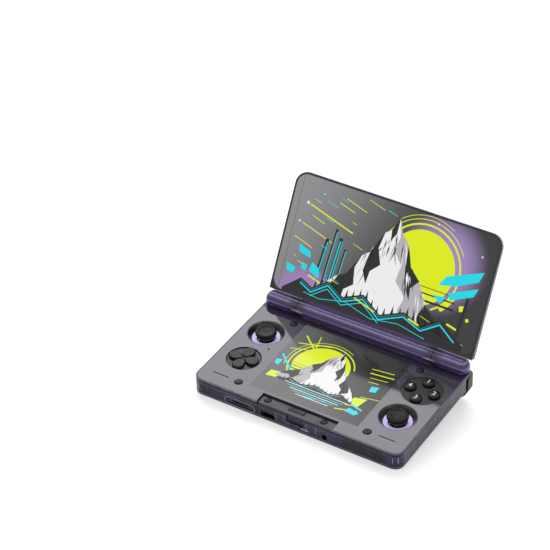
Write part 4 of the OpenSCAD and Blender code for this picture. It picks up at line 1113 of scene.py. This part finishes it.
# %% The peak
random.seed(7)
LEFT_RIDGE = [(-46, -39), (-36, -24), (-29, -17), (-24, -15), (-16, 0), (-11, 4), (-4, 19), (0, 22),
              (4, 31)]
RIGHT_RIDGE = [(4, 31), (8, 22), (14, 16), (19, 3), (27, -4), (34, -17), (46, -26), (56, -39)]
FOLD = [(22, -39), (17, -26), (20, -17), (11, -9), (12, 2), (5, 10), (7, 19)]
PEAK = LEFT_RIDGE + RIGHT_RIDGE[1:]
SHADED = RIGHT_RIDGE + FOLD
CRAGS = [[(-29, -17), (-24, -15), (-16, 0), (-19, -9), (-17, -20), (-23, -25), (-24, -33), (-33, -27)],
         [(-11, 4), (-4, 19), (-6, 8), (-2, -2), (-8, -8), (-9, -17), (-13, -9)],
         [(4, 31), (0, 22), (1, 15), (4, 21)],
         [(14, 16), (19, 3), (27, -4), (22, -10), (23, -18), (17, -8), (15, 3)],
         [(34, -17), (46, -26), (52, -34), (42, -31), (36, -36), (31, -27)]]


def gullies(count, side):
    """Streaks down one flank of the peak."""
    made = []
    for _ in range(count):
        t, inset = random.uniform(0.04, 0.8), random.uniform(2, 13)
        x = 4 + side * (46 * t - 0.5 * inset)
        y = 29 - 56 * t - inset
        made.append(wedge(x, y, side * random.uniform(0.5, 3.5), -random.uniform(5, 13),
                          random.uniform(0.3, 1.1)))
    return [streak for streak in made if min(y for _, y in streak) > -38]


left_gullies, right_gullies = gullies(34, -1), gullies(26, 1)
grey_gullies, dark_gullies = left_gullies[:16], left_gullies[16:] + right_gullies[:13]
print("peak with", len(CRAGS), "crags and", len(left_gullies + right_gullies), "gullies")

# %% Upper picture
EDGE_Y = -UPPER_H / 2 + 0.05
SUN = (25, 5)
sun = [disc(*SUN, 24, 64)]
halo_parts = ((27, 28.2, -60, 200), (30.5, 31, 30, 150), (33, 33.4, 60, 128), (27, 31, -48, -20))
halo = [ring_part(*SUN, *part) for part in halo_parts]
bands = bars((-4, -6, 54, -6, 0.5), (-4, -10, 54, -10, 0.9), (-4, -14.5, 54, -14.5, 1.4))
rays = bars((-60, 21, -26, 11.5, 0.9), (-63, 8, -38, 1, 0.6), (-50, -24, -24, -31, 1.0),
            (-40, 28, -28, 24.6, 0.5), (-36, 32, -20, 27.4, 0.5), (-66, -2, -52, -6, 0.5),
            (44, -29, 66, -34, 0.9), (-57, 14.5, -47, 11.6, 0.5), (52, -24, 60, -25.8, 1.3),
            (-20, 36, -8, 32.6, 0.4))
squares = [[(58, -14), (61.5, -13), (60.5, -9.5), (57, -10.5)],
           [(64, -19), (66, -18.4), (65.4, -16.4), (63.4, -17)]]
shards = [[(40, -2), (44, 5), (68, 15), (66, 8), (52, 1)], [(48, -5), (67, 4), (65, -2), (50, -9)],
          [(38, -9), (47, -8), (44, -13)], [(-61, -6), (-52, -9), (-51, -13), (-60, -11)],
          [(-49, -15), (-43, -18), (-42, -24), (-50, -21)],
          [(-56, -17), (-52, -18), (-52.6, -22), (-56, -21)],
          [(-67, -20), (-60, -22), (-61, -26), (-66, -25)]]
pillars = bars((-44, -22, -42.2, 3, 2.4), (-39, -26, -37.2, 11, 1.8), (-34.6, -26, -32.8, 6, 2.8),
               (-30, -28, -28.2, 0, 1.6), (60, -30, 61.8, -4, 2.0))
pillar_lights = bars((-43.4, -20, -41.7, 1, 0.7), (-38.4, -24, -36.7, 9, 0.5), (-34.8, -24, -33.1, 4, 0.9),
                     (-33.2, -24, -31.5, 4.6, 0.4), (-29.4, -26, -27.7, -1, 0.5))
far_hill = [(-66, -37), (-54, -27), (-45, -31), (-34, -23), (-22, -30), (-8, -24), (6, -33), (22, -26),
            (36, -31), (48, -23), (60, -31), (66, -34)]
near_hill = [(-66, -38), (-50, -34), (-38, -35), (-20, -31), (0, -36), (20, -33), (40, -36.5), (66, -37.5)]
slope_lines = strung(far_hill[1:8], 3.2, 0.8) + strung(far_hill[2:7], 5.6, 0.5)
slope_lines += strung(far_hill[7:11], 3, 0.9) + strung(near_hill[1:7], 1.6, 0.4)
starts = [(random.uniform(-66, 58), random.uniform(-30, 34), random.uniform(2, 8)) for _ in range(26)]
scratches = bars(*[(x, y, x + long, y - 0.28 * long, 0.35) for x, y, long in starts])
crumb_spots = ((-62, 21.6, 1.0), (-65, 8.5, 0.7), (30, 35, 0.6), (64, 24, 0.6), (-52, 30, 0.5))
crumbs = [disc(*spot, 12) for spot in crumb_spots]


def picture_layers(name, place, body, layers):
    """Stacks the layers of a picture, from the lowest to the highest."""
    for number, (ink, outlines) in enumerate(layers, 2):
        flat_shapes(f"{name}_{number}_{ink}", place, outlines, number, inks[ink], body)
    return len(layers)


BORDER_X = 4.6 - UPPER_W / 2
layers = [("hair", bars((BORDER_X, -38, BORDER_X, 38, 0.3))), ("yellow", sun + halo + rays + squares),
          ("dark", bands + pillars), ("cyan", shards + pillar_lights + scratches[:9]),
          ("white", [PEAK] + crumbs), ("grey", [SHADED] + grey_gullies),
          ("dark", CRAGS + dark_gullies + [grounded(far_hill, EDGE_Y)] + sawtooth(far_hill[2:10], 3, 5)),
          ("white", right_gullies[13:]), ("teal", scratches[9:17] + strung(far_hill[1:10], 1.4, 0.4)),
          ("cyan", slope_lines),
          ("yellow", scratches[17:] + bars((-14, -28, 2, -32.5, 0.9), (26, -29, 34, -31, 1.2)))]
print("upper picture in", picture_layers("upper_shape", upper, "lid", layers), "layers")

# %% Lower picture
LOW_SIZE = 0.56
LOW_SUN = (-9, 2)


def small(outlines):
    """The peak's outlines for the lower screen, mirrored."""
    return sized([[(-x, y) for x, y in outline] for outline in outlines], LOW_SIZE, 0, 4)


lower_sun = [disc(*LOW_SUN, 19, 56), ring_part(*LOW_SUN, 21, 21.9, 20, 250),
             ring_part(*LOW_SUN, 23.6, 24, 60, 200)]
lower_rays = bars((-34, 16, -12, 23, 0.8), (-33, 25, -18, 12, 1.0), (-36, 9, -24, 13, 0.6),
                  (-24, 28, -20, 12, 0.7), (20, 17, 35, 19, 0.6), (21, 13, 37, 15, 0.9),
                  (23, 9, 35, 10.6, 0.5), (24, 5, 31, 6, 0.5), (27, -10, 39, -7.4, 0.5),
                  (18, -27, 32, -23, 0.9))
ripples = bars(*[(-22 + 3 * k, -20 - 1.9 * k, 24 - 2.6 * k, -20 - 1.9 * k, 0.55) for k in range(5)])
lower_blocks = [[(24, -12), (32, -10), (30, -19), (22, -21)],
                [(-35, -15), (-28, -14), (-29, -20), (-36, -21)]]
lower_cyan = bars((-37, 2, -24, -10, 1.2), (19, -17, 34, -21, 1.5), (-6, -27.5, 10, -25, 0.7))
lower_cyan += [[(-38, -4), (-34, -3), (-34, -9), (-37, -8)], [(26, -22), (34, -24), (32, -27), (25, -26)],
               [(28, 2), (33, 3.4), (33, -2), (29, -3)]]
shore = [(-28, -19.5), (-20, -16), (-12, -18), (-2, -14.5), (8, -17.5), (16, -14), (26, -19)]
layers = [("yellow", lower_sun + lower_rays + lower_blocks), ("dark", sized(bands, 0.62, -26, 2)),
          ("cyan", lower_cyan + sized(scratches[:8], 0.5)), ("white", small([PEAK])),
          ("grey", small([SHADED] + grey_gullies)),
          ("dark", small(CRAGS + dark_gullies) + [shore + [(20, -21), (-22, -21)]] + sawtooth(shore, 3, 3)),
          ("white", ripples[::2]), ("cyan", ripples[1::2] + strung(shore[1:6], 1.6, 0.4))]
print("lower picture in", picture_layers("lower_shape", lower, "base", layers), "layers")

# %% [markdown]
# ## Floor, lamps and background
# The console stands in a plain white studio. A big soft lamp behind and to the left is what the
# deck mirrors, and it is the main light too. A second one in front fills the walls. The floor
# is lit like the rest, and shines a little on its own so that it reads as white paper while it
# still takes the console's shadow.


# %% Studio
def soft_lamp(name, toward, distance, size, strength, target=(0, 0, 0.03)):
    """A square lamp at a direction and distance from the console, facing it."""
    data = bpy.data.lights.new(name, "AREA")
    data.shape, data.size, data.size_y = "RECTANGLE", size[0], size[1]
    data.energy = strength * math.pi * size[0] * size[1]
    lamp = bpy.data.objects.new(name, data)
    way = Vector(toward).normalized()
    lamp.location = Vector(target) + way * distance
    lamp.rotation_euler = way.to_track_quat("Z", "Y").to_euler()
    scene.collection.objects.link(lamp)
    return lamp


soft_lamp("key_lamp", (-0.43, 0.60, 0.72), 1.6, (1.5, 1.5), 3.0)
soft_lamp("front_lamp", (-0.6, -1.0, 0.75), 1.8, (1.2, 0.9), 0.65)
soft_lamp("right_lamp", (1.0, -0.25, 0.5), 1.7, (0.9, 0.9), 1.1)

world = bpy.data.worlds.new("white_studio")
world.use_nodes = True
air = Tree(world.node_tree)
plain = air.tree.nodes["Background"]
plain.inputs["Color"].default_value = (1, 1, 1, 1)
seen = air.node("LightPath").outputs
bounced = air.calc("MAXIMUM", seen["Is Glossy Ray"], seen["Is Transmission Ray"])
direct = air.calc("ADD", seen["Is Camera Ray"], bounced, use_clamp=True)
air.feed(air.spread(direct, 0.5, 1, 0, 1), plain.inputs["Strength"])
scene.world = world
scene.view_settings.view_transform = "Standard"

paper = Finish("paper", "#dedede", 0.9, ("#dadada", 40), None, (1, 0.05, 0.1), Specular_IOR_Level=0.1,
               Emission_Color="#ffffff")
seen = paper.node("LightPath").outputs
straight = paper.calc("ADD", seen["Is Camera Ray"], seen["Is Transmission Ray"])
direct = paper.calc("ADD", straight, seen["Is Glossy Ray"], use_clamp=True)
paper.set(Emission_Strength=paper.calc("MULTIPLY", direct, 0.5))

FLOOR_HALF = 4.0
floor = meshed("floor",
               [(x * FLOOR_HALF, y * FLOOR_HALF, 0) for x, y in ((-1, -1), (1, -1), (1, 1), (-1, 1))], 
               [[0, 1, 2, 3]], paper)
print("studio lit")
